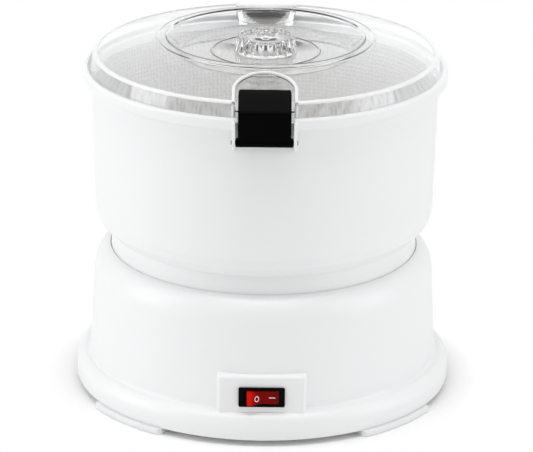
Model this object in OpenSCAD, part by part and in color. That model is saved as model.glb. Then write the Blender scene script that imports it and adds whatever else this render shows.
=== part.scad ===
// Electric potato peeler: a round moulded base with the drive, a drum with
// a spinning abrasive disc on top of it, and a clear lid held by two latches.
// Millimetres. The origin is on the plane that the feet stand on, on the
// axis of the drum. +Z is up and the switch is at the front, towards -Y.

/* [Base housing] */
// Height of the feet under the skirt
foot_h = 4.5; // [3:0.5:8]
// Radius of the skirt
skirt_r = 135.2; // [134:0.1:137]
// Height of the upright part of the skirt
skirt_h = 9; // [7:0.5:11]
// How far the rounded top of the skirt runs inward
skirt_round_w = 8; // [7:0.5:9]
// Height of the rounded top of the skirt
skirt_round_h = 9.3; // [8:0.1:11]
// How far the foot of the base wall lies inside the skirt
skirt_step = 9.9; // [9:0.1:11]
// Inward draft of the base wall up to its shoulder
base_draft = 3.2; // [2:0.1:4.5]
// Height of the base wall from the skirt to its shoulder
base_wall_h = 61.6; // [58:0.1:66]
// Width of the elliptic shoulder
shoulder_w = 15.8; // [15:0.1:17]
// Height of the elliptic shoulder
shoulder_h = 19.9; // [18:0.1:22]
// How far the seam between base and drum lies inside the base wall
seam_in = 11.3; // [10.5:0.1:12.5]
// Wall of the moulded shells
shell_t = 3; // [2.5:0.1:3.5]

/* [Drum] */
// Height of the drum's foot collar above the deck
collar_h = 15.5; // [14:0.5:18]
// Inward draft of the foot collar over its height
collar_draft = 1.6; // [1:0.1:2.5]
// Step of the drum's lower lip over the collar
lip_step = 2.3; // [1.5:0.1:3]
// How far the drum wall stands out over that seam
drum_out = 10.1; // [9.5:0.1:11]
// Outward draft of the drum wall up to its rim
drum_draft = 2.2; // [1:0.1:3]
// Height of the rounded bottom corner of the drum
drum_corner_h = 14.5; // [13:0.5:16]
// Height of the drum wall from that corner to the rim
drum_wall_h = 93; // [85:1:102]
// How far the rim stands out over the drum wall
rim_out = 6.3; // [5.5:0.1:7]
// Height of the cove under the rim
rim_cove_h = 4.5; // [3:0.1:6]
// Height of the rim
rim_h = 10.3; // [9.5:0.1:12]
// Radius of the rounding on top of the rim
rim_round = 2.2; // [1.5:0.1:2.5]
// Depth of the recess that the lid stands in
lid_recess = 6.6; // [5.5:0.1:7.5]
// Thickness of the abrasive liner on the drum wall
liner_t = 1.2; // [0.8:0.1:1.6]

/* [Lid] */
// How far the lid's lower edge lies inside the rim's outer face
lid_in = 4.5; // [4:0.1:5.5]
// Inward draft of the lid's rim band
lid_draft = 3.1; // [2:0.1:4]
// Height of the lid's rim band
lid_band_h = 12.8; // [12:0.1:14]
// Width of the cone from the lid's upper edge to the crest ring
cone_w = 44.2; // [42:0.1:46]
// Rise of the cone from the rim band to the crest
cone_rise = 10.5; // [10:0.1:11.5]
// Width of the crest ring
crest_w = 8.6; // [7:0.1:10]
// Rise across the crest ring
crest_rise = 1.2; // [0.8:0.1:1.6]
// Width of the slope from the crest ring down to the dish floor
dish_slope_w = 8; // [6:0.5:10]
// Depth of the dish under the crest
dish_depth = 11; // [10:0.1:12]
// How far the small rib around the cap lies inside the edge of the dish floor
dish_rib_in = 23; // [18:1:27]
// Wall of the lid
lid_t = 2.4; // [2:0.1:2.8]
// Inner radius of the latch pockets
pocket_r = 20.4; // [20:0.1:21]
// How far the middle of the pocket's round end lies inside the lid's lower edge
pocket_in = 21.4; // [20:0.1:23]
// Depth of the pocket floor under the lid's upper edge
pocket_drop = 5.3; // [5:0.1:6]
// Wall of the pockets
pocket_t = 2; // [1.6:0.1:2.2]

/* [Filler cap] */
// Radius of the cap at its base
cap_base_r = 22.5; // [21:0.1:24]
// Radius of the cap at its top
cap_top_r = 19.7; // [19:0.1:21]
// Height of the cap over the dish
cap_h = 11.2; // [10:0.1:13]
// Number of flutes around the cap
cap_flutes = 24; // [18:1:30]
// Depth of the flutes
flute_depth = 0.8; // [0.5:0.1:1.2]
// Radius of the spigot in the lid
spigot_r = 15.5; // [14:0.1:16]
// Reach of the bayonet lugs from the spigot
lug_reach = 2.6; // [2:0.1:3]

/* [Latches] */
// Width of the latches
latch_w = 35; // [33:0.5:36]
// Width of the hinge barrel
barrel_w = 39; // [38:0.1:40]
// Radius of the hinge barrel
barrel_r = 3.2; // [3:0.1:3.5]
// Radius of the hinge pins
latch_pin_r = 1.5; // [1.3:0.05:1.7]
// How far the hinge pins lie inside the rim's outer face
pin_in = 0.7; // [0.3:0.1:1.2]
// Depth of the hinge pins under the fold of the latch
pin_drop = 22; // [20:0.5:23]
// Length of the latch from its fold to the hook
hook_reach = 27; // [25:0.5:28]
// Wall of the latches
latch_t = 3; // [2.4:0.1:3.2]
// Thickness of the ears that hold the pins
ear_t = 2.3; // [2:0.1:3]

/* [Switch and cord inlet] */
// Width of the raised switch panel
panel_w = 61; // [58:1:66]
// Height of the raised switch panel
panel_h = 29.4; // [28:0.1:32]
// Height of the panel's lower edge above the skirt's lower edge
panel_z = 15.6; // [14:0.1:17]
// How far the panel's face stands out over the foot of the base wall
panel_out = 2.3; // [1.8:0.1:3.5]
// Radius of the panel's rounded edges
panel_round = 3.5; // [2:0.5:5]
// Width of the switch bezel
bezel_w = 32.2; // [31:0.1:34]
// Height of the switch bezel
bezel_h = 14.3; // [13.5:0.1:15]
// Thickness of the switch bezel in front of the panel
bezel_t = 1.8; // [1.5:0.1:2.4]
// Half of the angle that the rocker tips through
rocker_tilt = 10; // [7:0.5:12]
// Radius of the hole in the cord gland
gland_bore_r = 3.6; // [3:0.1:4]
// Height of the cord gland
gland_z = 38; // [36:1:44]

/* [Peeling disc] */
// Gap between the edge of the peeling disc and the drum wall
disc_gap = 5.9; // [5.5:0.1:9]
// Thickness of the peeling disc
disc_t = 4; // [3:0.5:5]
// Thickness of the abrasive sheet
grit_t = 1; // [0.8:0.1:1.4]
// Height of the three ridges on the disc
ridge_h = 6; // [4:0.5:8]
// Radius of the boss in the middle of the disc
boss_r = 20; // [17:1:24]
// Height of that boss over the disc
boss_h = 20; // [18:1:24]

/* [Drive] */
// Radius of the spindle
spindle_r = 6; // [5:0.5:6.5]
// Gap between the belt seats of the two pulleys
pulley_gap = 4.5; // [3.5:0.5:8]
// Radius of the belt seat on the motor pulley
motor_pulley_r = 9.5; // [8.5:0.5:11]
// How far the motor shaft lies inside the foot of the base wall
motor_in = 53.3; // [51:0.1:56]
// Width of the belt
belt_w = 10.4; // [8:0.2:11]
// Thickness of the belt
belt_t = 2.7; // [2:0.1:3]
// Outer radius of the bearings
bearing_r = 14; // [13:0.5:15]
// Width of the bearings
bearing_w = 8; // [7:0.5:9]
// Radius of the motor shaft
motor_shaft_r = 4; // [3:0.5:4.5]
// Width of the square stator
stator_w = 68; // [64:1:70]
// Gap between the motor's fan and the deck
fan_gap = 2.5; // [1.5:0.5:5]
// Radius of the rotor
rotor_r = 17.6; // [16:0.1:17.7]

/* [Hidden] */

// Facets of the round surfaces in a preview
$fn = 96;
// Segments of one rounded stretch in an outline
arc_n = 8;
// Running clearance around the pins and shafts
run_gap = 0.05;
// Gap between a piece and the one that it fits into or stands on
fit_gap = 0.3;
// Overlap of a cutting tool with the face that it cuts
cut = 1;

// Radii, each from the one outside or below it
base_foot_r = skirt_r - skirt_step;
base_top_r = base_foot_r - base_draft;
seam_r = base_top_r - seam_in;
drum_low_r = seam_r + drum_out;
drum_top_r = drum_low_r + drum_draft;
rim_r = drum_top_r + rim_out;
lid_r = rim_r - lid_in;
lid_edge_r = lid_r - lid_draft;
crest_r = lid_edge_r - cone_w;
crest_in_r = crest_r - crest_w;
dish_r = crest_in_r - dish_slope_w;
dish_rib_r = dish_r - dish_rib_in;
pocket_y = lid_r - pocket_in;
pin_y = rim_r - pin_in;
panel_y = base_foot_r + panel_out;
disc_r = drum_low_r - shell_t - disc_gap;
belt_span = base_foot_r - motor_in;
driven_r = belt_span - motor_pulley_r - pulley_gap;

// Heights along the base, from the feet up
skirt_top_z = foot_h + skirt_h + skirt_round_h;
base_top_z = skirt_top_z + base_wall_h;
shoulder_cr = base_top_r - shoulder_w;
seam_angle = acos((seam_r - shoulder_cr) / shoulder_w);
seam_z = base_top_z + shoulder_h * sin(seam_angle);
deck_z = seam_z - 2;
deck_low_z = deck_z - shell_t;
cover_t = 2.5;
cover_top_z = foot_h + cover_t;

// Heights along the drum
collar_r = seam_r - 0.6;
lip_z = deck_z + collar_h;
collar_top_r = collar_r - collar_draft;
lip_r = collar_top_r + lip_step;
floor_bite = 2;
floor_low_z = lip_z + 1;
floor_z = floor_low_z + shell_t;
drum_low_z = lip_z + drum_corner_h;
drum_top_z = drum_low_z + drum_wall_h;
rim_z = drum_top_z + rim_cove_h;
rim_top_z = rim_z + rim_h;
ledge_z = rim_top_z - lid_recess;
recess_r = lid_r + 0.4;

// Heights along the lid
lid_z = ledge_z + fit_gap;
lid_edge_z = lid_z + lid_band_h;
crest_z = lid_edge_z + cone_rise;
crest_top_z = crest_z + crest_rise;
dish_z = crest_top_z - dish_depth;
pocket_z = lid_edge_z - pocket_drop;

// Latches
fold_z = lid_edge_z - 3.3;
pin_z = fold_z - pin_drop;
latch_out = 2.3;
latch_slope = cone_rise / (lid_edge_r - crest_r);
hook_low = pocket_z + 0.5 - pin_z;
ear_x = barrel_w / 2 + fit_gap;
notch_y = drum_top_r + 0.5;
notch_z = pin_z - barrel_r - 1.8;
pin_len = 2 * (ear_x + ear_t) + 1;

// Spindle, bearings and the disc on top of it
housing_r = bearing_r + 4.5;
neck_r = bearing_r + 3;
shoulder_r = 24;
flange_r = 42;
flange_t = 4;
gasket_t = 1.5;
shoulder_z = floor_low_z - gasket_t;
neck_z = floor_z + 5;
seal_w = 7;
upper_bearing_z = deck_z - 1.5;
lower_bearing_z = 46;
housing_low_z = lower_bearing_z - 2;
collar_top_z = neck_z + 1;
disc_z = collar_top_z + fit_gap;
disc_top_z = disc_z + disc_t;
boss_top_z = disc_top_z + boss_h;
dog_top_z = boss_top_z - 3;
dog_flat = spindle_r * 1.45;

// Belt drive
pulley_z = 15;
flange_w = 1.5;
flange_over = 2;
pulley_w = belt_w + 2 * fit_gap + 2 * flange_w;
belt_z = pulley_z + flange_w + fit_gap;
belt_angle = acos((driven_r - motor_pulley_r) / belt_span);
spindle_z = pulley_z - 6;

// Motor, from its plate up
plate_t = 2;
plate_z = 34;
plate_top_z = plate_z + plate_t;
bracket_low_h = 10;
bracket_up_h = 12;
fan_h = 6;
fan_z = deck_low_z - fan_gap - fan_h;
bracket_top_z = fan_z - 2;
stack_top_z = bracket_top_z - bracket_up_h;
stack_z = plate_top_z + bracket_low_h;
stack_h = stack_top_z - stack_z;
pole_gap = 0.9;
yoke_r = 29;
bolt_at = stator_w / 2 - 5.5;
post_x = stator_w / 2 + 6;
post_y = stator_w / 2 - 2;
post_r = 5;

// Screws
screw_r = 1.75;
pilot_r = 1.85;
clear_r = 2.1;
head_r = 3.6;
head_h = 2.4;
inner_screw_r = 34;
outer_screw_r = collar_r - 15.2;
cover_screw_r = base_foot_r - shell_t - post_r + 0.4;
cover_screw_at = [15, 165, 195, 345];
quarter_at = [45, 135, 225, 315];
// Angles of the feet: front right, front left, rear right, rear left
foot_at = [315.75, 225.75, 45.75, 134.25];
foot_sweep = 28.5;
foot_out_r = skirt_r + 1.4;
foot_in_r = skirt_r - 23.2;
foot_peg_r = 2.5;

white = [0.93, 0.94, 0.95];
clear = [0.86, 0.89, 0.92, 0.35];
black = [0.05, 0.05, 0.055];
steel = [0.66, 0.67, 0.69];

// ---------------------------------------------------------------- outlines

// Points along an elliptic arc in the plane of radius and height.
function arc(cr, cz, rr, rz, a0, a1, n = arc_n) =
    [for (i = [0:n]) [cr + rr * cos(a0 + (a1 - a0) * i / n),
                      cz + rz * sin(a0 + (a1 - a0) * i / n)]];

// The same points in the other order.
function back(list) = [for (i = [len(list) - 1:-1:0]) list[i]];

// Inner radius of the drum wall at a height between its corner and its rim.
function drum_in_r_at(z) =
    drum_low_r - shell_t + (drum_top_r - drum_low_r) * (z - drum_low_z) / drum_wall_h;

// A rectangle with round corners, centred, as plain squares and circles.
module round_rect(w, h, r) {
    square([w - 2 * r, h], center = true);
    square([w, h - 2 * r], center = true);
    for (x = [-1, 1], y = [-1, 1])
        translate([x * (w / 2 - r), y * (h / 2 - r)]) circle(r);
}

// A block centred in x, from y = 0 back, with its edges rounded all over.
module soft_block(w, d, h, r) {
    translate([-w / 2 + r, 0, r]) cube([w - 2 * r, d, h - 2 * r]);
    translate([-w / 2, r, r]) cube([w, d - 2 * r, h - 2 * r]);
    translate([-w / 2 + r, r, 0]) cube([w - 2 * r, d - 2 * r, h]);
    for (x = [-w / 2 + r, w / 2 - r]) {
        for (y = [r, d - r]) translate([x, y, r]) cylinder(r = r, h = h - 2 * r);
        for (z = [r, h - r])
            translate([x, r, z]) rotate([-90, 0, 0]) cylinder(r = r, h = d - 2 * r);
        for (y = [r, d - r], z = [r, h - r]) translate([x, y, z]) sphere(r);
    }
    for (y = [r, d - r], z = [r, h - r])
        translate([-w / 2 + r, y, z]) rotate([0, 90, 0]) cylinder(r = r, h = w - 2 * r);
}

// A ring or disc from z up, between two radii.
module ring(r_out, r_in, z, h) {
    translate([0, 0, z]) difference() {
        cylinder(r = r_out, h = h);
        translate([0, 0, -cut]) cylinder(r = r_in, h = h + 2 * cut);
    }
}

// Places its children at a radius, once for each angle in a list.
module around(angles, r) {
    for (a = angles) rotate([0, 0, a]) translate([r, 0, 0]) children();
}

// Moves its children to the motor's axis.
module at_motor() {
    translate([0, belt_span, 0]) children();
}

// A screw that points up: its head lies under z and its shank stands over it.
module screw_up(z, len) {
    translate([0, 0, z - head_h]) cylinder(r1 = head_r - 0.6, r2 = head_r, h = head_h);
    translate([0, 0, z]) cylinder(r = screw_r, h = len);
}

// ---------------------------------------------------------------- base

// Outline of the base shell: skirt, wall, shoulder and deck.
function base_outline() = concat(
    [[skirt_r, foot_h]],
    arc(skirt_r - skirt_round_w, foot_h + skirt_h, skirt_round_w, skirt_round_h, 0, 90),
    [[base_foot_r, skirt_top_z]],
    arc(shoulder_cr, base_top_z, shoulder_w, shoulder_h, 0, seam_angle, arc_n + 4),
    [[seam_r, deck_z], [shoulder_r + 0.4, deck_z], [shoulder_r + 0.4, deck_low_z]],
    back(arc(shoulder_cr, base_top_z, shoulder_w - shell_t, shoulder_h - shell_t, 0,
             asin((deck_low_z - base_top_z) / (shoulder_h - shell_t)))),
    [[base_foot_r - shell_t, skirt_top_z - shell_t]],
    back(arc(skirt_r - skirt_round_w, foot_h + skirt_h, skirt_round_w - shell_t,
             skirt_round_h - shell_t, 0, 90)),
    [[skirt_r - shell_t, foot_h]]);

module panel_cuts() {
    hollow_w = panel_w - 2 * shell_t;
    translate([-hollow_w / 2, -panel_y + shell_t, foot_h + panel_z + shell_t])
        cube([hollow_w, 14, panel_h - 2 * shell_t]);
    translate([0, -panel_y + shell_t + cut, panel_mid_z])
        rotate([90, 0, 0])
        linear_extrude(shell_t + 2 * cut)
        square([body_w + 2 * fit_gap, body_h + 2 * fit_gap], center = true);
}

panel_mid_z = foot_h + panel_z + panel_h / 2 - 0.3;
body_w = bezel_w - 3.4;
body_h = bezel_h - 2.1;

module base_housing() {
    color(white) difference() {
        union() {
            rotate_extrude() polygon(base_outline());
            translate([0, -panel_y, foot_h + panel_z])
                soft_block(panel_w, 2 * panel_round + 4, panel_h, panel_round);
            around(cover_screw_at, cover_screw_r)
                translate([0, 0, cover_top_z + fit_gap / 3]) cylinder(r = post_r, h = 50);
            at_motor() for (x = [-1, 1], y = [-1, 1])
                translate([x * post_x, y * post_y, plate_top_z])
                cylinder(r = post_r, h = deck_low_z - plate_top_z + 0.5);
            translate([0, gland_seat_y, gland_z])
                rotate([90, 0, 0]) cylinder(r = 12, h = 8);
        }
        panel_cuts();
        around(cover_screw_at, cover_screw_r)
            translate([0, 0, foot_h]) cylinder(r = pilot_r, h = 22);
        at_motor() for (x = [-1, 1], y = [-1, 1])
            translate([x * post_x, y * post_y, plate_top_z - cut]) cylinder(r = pilot_r, h = 18);
        around(quarter_at, outer_screw_r)
            translate([0, 0, deck_low_z - cut]) cylinder(r = clear_r, h = shell_t + 2 * cut);
        around(quarter_at, inner_screw_r)
            translate([0, 0, deck_low_z - cut]) cylinder(r = clear_r, h = shell_t + 2 * cut);
        translate([0, gland_seat_y + cut, gland_z])
            rotate([90, 0, 0]) cylinder(r = gland_r + run_gap, h = 20);
    }
}

module bottom_cover() {
    slot_w = 3;
    color(white) difference() {
        translate([0, 0, foot_h]) cylinder(r = skirt_r - shell_t - fit_gap, h = cover_t);
        around(cover_screw_at, cover_screw_r)
            translate([0, 0, foot_h - cut]) cylinder(r = clear_r, h = cover_t + 2 * cut);
        around(cover_screw_at, cover_screw_r)
            translate([0, 0, foot_h - cut])
            cylinder(r = head_r + 0.4, h = cut + 0.9);
        for (a = foot_at) foot_pegs(a, foot_peg_r + run_gap, foot_h - cut, cover_t + 2 * cut);
        for (x = [-5:5])
            translate([x * 8, belt_span, foot_h + cover_t / 2])
            linear_extrude(cover_t + 2 * cut, center = true) round_rect(slot_w, 38, slot_w / 2 - 0.01);
        for (x = [-5:5])
            translate([x * 8, -belt_span, foot_h + cover_t / 2])
            linear_extrude(cover_t + 2 * cut, center = true) round_rect(slot_w, 38, slot_w / 2 - 0.01);
    }
}

module foot_pegs(angle, r, z, h) {
    for (side = [-1, 1])
        rotate([0, 0, angle + side * foot_sweep / 4])
        translate([(foot_in_r + skirt_r - shell_t) / 2, 0, z]) cylinder(r = r, h = h);
}

// A foot is an arc-shaped pad with two pegs in the cover.
module foot(angle) {
    edge = 1;
    color(white) {
        rotate([0, 0, angle - foot_sweep / 2]) rotate_extrude(angle = foot_sweep)
            polygon([[foot_in_r + edge, 0], [foot_out_r - edge, 0], [foot_out_r - 0.3, 0.3],
                     [foot_out_r, edge], [foot_out_r, foot_h], [foot_in_r, foot_h],
                     [foot_in_r, edge], [foot_in_r + 0.3, 0.3]]);
        foot_pegs(angle, foot_peg_r, foot_h - 0.5, cover_t + 2);
    }
}

module foot_front_right() { foot(foot_at[0]); }
module foot_front_left() { foot(foot_at[1]); }
module foot_rear_right() { foot(foot_at[2]); }
module foot_rear_left() { foot(foot_at[3]); }

module cover_screws() {
    color(steel) around(cover_screw_at, cover_screw_r) screw_up(foot_h + 0.9, 18);
}

// ---------------------------------------------------------------- drum

// Outline of the drum: lip, wall, rim with the lid's ledge, and floor.
function drum_outline() = concat(
    [[collar_top_r + run_gap, lip_z], [lip_r, lip_z]],
    [[drum_low_r - 2.5, lip_z + 0.57 * drum_corner_h]],
    arc(drum_low_r - 12, drum_low_z, 12, 7, -30, 0, 4),
    arc(rim_r - 1, drum_top_z, rim_r - 1 - drum_top_r, rim_cove_h - 0.6, 180, 90),
    [[rim_r, rim_z], [rim_r, rim_top_z - rim_round]],
    arc(rim_r - rim_round, rim_top_z - rim_round, rim_round, rim_round, 15, 90, 6),
    [[recess_r + 0.8, rim_top_z - 0.4], [recess_r, rim_top_z - 1.2], [recess_r, ledge_z]],
    [[drum_in_r_at(drum_top_z), ledge_z], [drum_in_r_at(drum_top_z), drum_top_z]],
    back(arc(drum_low_r - shell_t - 9, drum_low_z + 0.5, 9, drum_low_z + 0.5 - floor_z, -85, 0)),
    [[neck_r + fit_gap, floor_z], [neck_r + fit_gap, floor_low_z]],
    [[collar_top_r + run_gap, floor_low_z]]);

// The two ears at the front that hold a latch pin.
module ears() {
    for (side = [-1, 1])
        translate([side * (ear_x + ear_t / 2), 0, 0])
        rotate([90, 0, 90])
        translate([0, 0, -ear_t / 2])
        linear_extrude(ear_t) {
            translate([-pin_y, pin_z]) circle(barrel_r + 0.2);
            polygon([[-pin_y - barrel_r - 0.2, pin_z], [-rim_r - 1.6, rim_top_z - 3.6],
                     [-rim_r + 1, rim_top_z - 3.4], [-drum_top_r, rim_top_z - 4],
                     [-drum_top_r + 2, pin_z - barrel_r - 5], [-pin_y, pin_z - barrel_r - 0.2]]);
        }
}

// Room for a latch between its ears, and the holes for its pin.
module latch_notch() {
    translate([-ear_x, -rim_r - 8, notch_z]) cube([2 * ear_x, rim_r + 8 - notch_y, 60]);
    translate([-pin_len, -pin_y, pin_z])
        rotate([0, 90, 0]) cylinder(r = latch_pin_r + 0.02, h = 2 * pin_len);
}

module drum() {
    color(white) difference() {
        union() {
            rotate_extrude($fn = 144) polygon(drum_outline());
            for (turn = [0, 180]) rotate([0, 0, turn]) ears();
        }
        for (turn = [0, 180]) rotate([0, 0, turn]) latch_notch();
        translate([0, 0, ledge_z]) cylinder(r = recess_r, h = 30);
        around(quarter_at, outer_screw_r)
            translate([0, 0, floor_low_z - cut]) cylinder(r = pilot_r, h = floor_bite + cut + 0.2);
    }
}

// Foot of the drum: a collar on the deck, whose top the drum's lip goes round,
// with ribs and rings that carry the drum's floor and posts for the screws.
module drum_foot() {
    rib_t = 2.4;
    under_h = floor_low_z - deck_z;
    ring_r = (inner_screw_r + outer_screw_r) / 2 + 3.5;
    color(white) difference() {
        union() {
            rotate_extrude($fn = 144)
                polygon([[collar_r, deck_z], [collar_top_r, lip_z], [collar_top_r, floor_low_z],
                         [collar_top_r - shell_t, floor_low_z], [collar_r - shell_t, deck_z]]);
            for (a = [0:45:315])
                rotate([0, 0, a]) translate([shoulder_r + 2, -rib_t / 2, deck_z + 5])
                cube([collar_top_r - shell_t / 2 - shoulder_r - 2, rib_t, under_h - 5]);
            ring(shoulder_r + 3.4, shoulder_r + 1, deck_z, under_h);
            ring(ring_r, ring_r - rib_t, deck_z + 7, under_h - 7);
            around(quarter_at, outer_screw_r) translate([0, 0, deck_z]) cylinder(r = post_r, h = under_h);
            around(quarter_at, inner_screw_r) translate([0, 0, deck_z]) cylinder(r = post_r, h = under_h);
        }
        around(quarter_at, outer_screw_r)
            translate([0, 0, deck_z - cut]) cylinder(r = clear_r, h = under_h + 2 * cut);
        around(quarter_at, inner_screw_r)
            translate([0, 0, deck_z - cut]) cylinder(r = pilot_r, h = 13);
    }
}

// Abrasive sleeve that lines the drum wall.
module wall_liner() {
    low = drum_low_z + 6;
    top = drum_top_z + 3;
    slack = 0.1;
    color([0.80, 0.81, 0.82]) rotate_extrude($fn = 144)
        polygon([[drum_in_r_at(low) - slack, low], [drum_in_r_at(drum_top_z) - slack, drum_top_z],
                 [drum_in_r_at(drum_top_z) - slack, top], [drum_in_r_at(drum_top_z) - liner_t, top],
                 [drum_in_r_at(drum_top_z) - liner_t, drum_top_z],
                 [drum_in_r_at(low) - liner_t, low]]);
}

module drum_gasket() {
    color(black) ring(shoulder_r, neck_r + 0.1, shoulder_z, gasket_t);
}

module drum_screws() {
    color(steel) around(quarter_at, outer_screw_r)
        screw_up(deck_low_z, floor_low_z + floor_bite - deck_low_z);
}

// ---------------------------------------------------------------- lid

// Outline of the lid's thin wall: rim band, cone, crest, dish and its rib.
function lid_outline() = concat(
    [[lid_r, lid_z], [lid_edge_r + 0.25, lid_edge_z - 1], [lid_edge_r - 1, lid_edge_z + 0.15]],
    [[crest_r, crest_z]],
    [[crest_r - 1.2, crest_z + 0.7]],
    arc(crest_in_r + 1.5, crest_top_z - 1.5, 1.5, 1.5, 90, 160, 4),
    [[dish_r + 1, dish_z + 1], [dish_r - 1, dish_z]],
    [[dish_rib_r + 0.9, dish_z], [dish_rib_r + 0.5, dish_z + 0.9],
     [dish_rib_r - 0.5, dish_z + 0.9], [dish_rib_r - 0.9, dish_z]],
    [[spigot_r + run_gap, dish_z], [spigot_r + run_gap, dish_z - lid_t]],
    [[dish_r + 1, dish_z - lid_t], [dish_r + lid_t + 0.6, dish_z - lid_t + 1.6]],
    [[crest_in_r + lid_t - 0.2, crest_top_z - lid_t - 0.3], [crest_r - 1.4, crest_z - lid_t + 0.7]],
    [[crest_r, crest_z - lid_t], [lid_edge_r - lid_t, lid_edge_z - lid_t + 0.5]],
    [[lid_r - lid_t, lid_z]]);

// Outline of a latch pocket seen from above, grown by an amount.
module pocket_2d(grow) {
    translate([0, -pocket_y]) circle(pocket_r + grow);
    translate([-pocket_r - grow, -lid_r - 10]) square([2 * (pocket_r + grow), lid_r + 10 - pocket_y]);
}

// The walls and floor of one pocket, inside the lid's own outline.
module pocket_walls() {
    intersection() {
        translate([0, 0, pocket_z - pocket_t])
            linear_extrude(crest_top_z - pocket_z) pocket_2d(pocket_t);
        rotate_extrude() polygon([[0, 0], [lid_r, lid_z], [lid_edge_r, lid_edge_z],
                                  [crest_r, crest_z], [0, crest_z]]);
    }
}

module pocket_room() {
    translate([0, 0, pocket_z]) linear_extrude(60) pocket_2d(0);
}

// Notches in the lid's hole that let the cap's lugs through.
module lug_notches() {
    for (turn = [0, 180])
        rotate([0, 0, turn + 45]) translate([0, -3.2, dish_z - lid_t - cut])
        cube([spigot_r + lug_reach + fit_gap, 6.4, lid_t + 2 * cut]);
}

module lid() {
    color(clear) difference() {
        union() {
            rotate_extrude($fn = 144) polygon(lid_outline());
            for (turn = [0, 180]) rotate([0, 0, turn]) pocket_walls();
        }
        for (turn = [0, 180]) rotate([0, 0, turn]) pocket_room();
        lug_notches();
    }
}

// Outline of the fluted cap: a circle whose radius waves in and out.
function flute_outline(r) =
    [for (i = [0:6 * cap_flutes - 1])
        let (a = 360 * i / (6 * cap_flutes), s = r - flute_depth * (1 - abs(cos(a * cap_flutes / 2))))
        [s * cos(a), s * sin(a)]];

module filler_cap() {
    wall = 2;
    seat_z = dish_z + fit_gap;
    lug_z = dish_z - lid_t - fit_gap;
    color(clear) {
        difference() {
            translate([0, 0, seat_z])
                linear_extrude(cap_h, scale = cap_top_r / cap_base_r)
                polygon(flute_outline(cap_base_r));
            translate([0, 0, seat_z + cap_h - 1.8])
                cylinder(r1 = cap_top_r - wall - 0.3, r2 = cap_top_r - wall, h = 3);
            translate([0, 0, seat_z - cut])
                cylinder(r1 = spigot_r - wall, r2 = spigot_r - wall - 0.5, h = cap_h - 3.8 + cut);
        }
        ring(spigot_r, spigot_r - wall, lug_z - 3, seat_z - lug_z + 3.5);
        intersection() {
            for (turn = [0, 180])
                rotate([0, 0, turn]) translate([spigot_r - wall / 2, -2.8, lug_z - 3])
                cube([lug_reach + wall / 2, 5.6, 3]);
            translate([0, 0, lug_z - 3]) cylinder(r = spigot_r + lug_reach, h = 3);
        }
    }
}

// ---------------------------------------------------------------- latches

// Outer face of a latch in its own plane: first value inward from the pin,
// second value up from the pin.
function latch_face() = concat(
    [[-latch_out, 0]],
    arc(-latch_out + 3, pin_drop - 2.6, 3, 3, 180, 106, 5),
    [[hook_reach - latch_out - 1, pin_drop + (hook_reach - 1) * latch_slope],
     [hook_reach - latch_out, pin_drop + hook_reach * latch_slope - 1]]);

// Whole side wall of a latch.
function latch_side() = concat(latch_face(),
    [[hook_reach - latch_out, hook_low], [3, hook_low], [2.8, 6], [0, 0]]);

// Room inside the latch, open below and at the back.
function latch_hollow() =
    [[-latch_out + latch_t, -cut], [-latch_out + latch_t, pin_drop - latch_t],
     [hook_reach - latch_out - latch_t, pin_drop + hook_reach * latch_slope - latch_t - 1.2],
     [hook_reach - latch_out - latch_t, hook_low - cut], [4, hook_low - cut], [4, -cut]];

// Draws an outline in the plane of the latch, along the hinge axis.
module along_hinge(w) {
    rotate([90, 0, 90]) translate([0, 0, -w / 2]) linear_extrude(w) children();
}

module latch() {
    color(black) translate([0, -pin_y, pin_z]) difference() {
        union() {
            difference() {
                along_hinge(latch_w) polygon(latch_side());
                along_hinge(latch_w - 2 * latch_t) polygon(latch_hollow());
            }
            along_hinge(barrel_w) circle(barrel_r);
            along_hinge(2) polygon(concat(latch_face(), [[hook_reach - latch_out, hook_low + 1.5],
                                                         [6, hook_low + 1], [0, 4]]));
        }
        along_hinge(barrel_w + 2 * cut) circle(latch_pin_r + run_gap);
    }
}

module latch_front() { latch(); }
module latch_rear() { rotate([0, 0, 180]) latch(); }

module latch_pins() {
    color([0.25, 0.25, 0.26]) for (turn = [0, 180])
        rotate([0, 0, turn]) translate([-pin_len / 2, -pin_y, pin_z])
        rotate([0, 90, 0]) cylinder(r = latch_pin_r, h = pin_len);
}

// ---------------------------------------------------------------- switch

rocker_w = bezel_w - 7.8;
rocker_h = bezel_h - 4.7;
rocker_y = panel_y - 2.6;
rocker_pin_r = 1.2;

module switch_bezel() {
    body_d = 24;
    cavity_w = rocker_w + 2.4;
    cavity_h = rocker_h + 0.6;
    color(black) difference() {
        translate([0, -panel_y, panel_mid_z]) rotate([90, 0, 0]) {
            linear_extrude(bezel_t) round_rect(bezel_w, bezel_h, 1.5);
            translate([0, 0, -body_d]) linear_extrude(body_d + 0.5)
                square([body_w, body_h], center = true);
        }
        translate([-cavity_w / 2, -panel_y - bezel_t - cut, panel_mid_z - cavity_h / 2])
            cube([cavity_w, bezel_t + cut + 12, cavity_h]);
        translate([0, -rocker_y, panel_mid_z - rocker_h / 2 - 1.8])
            cylinder(r = rocker_pin_r + run_gap, h = rocker_h + 3.6);
    }
}

module switch_terminals() {
    color([0.8, 0.7, 0.4]) for (x = [-9, 0, 9])
        translate([x - 0.4, -panel_y + 24, panel_mid_z - 2.4]) cube([0.8, 8, 4.8]);
}

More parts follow.
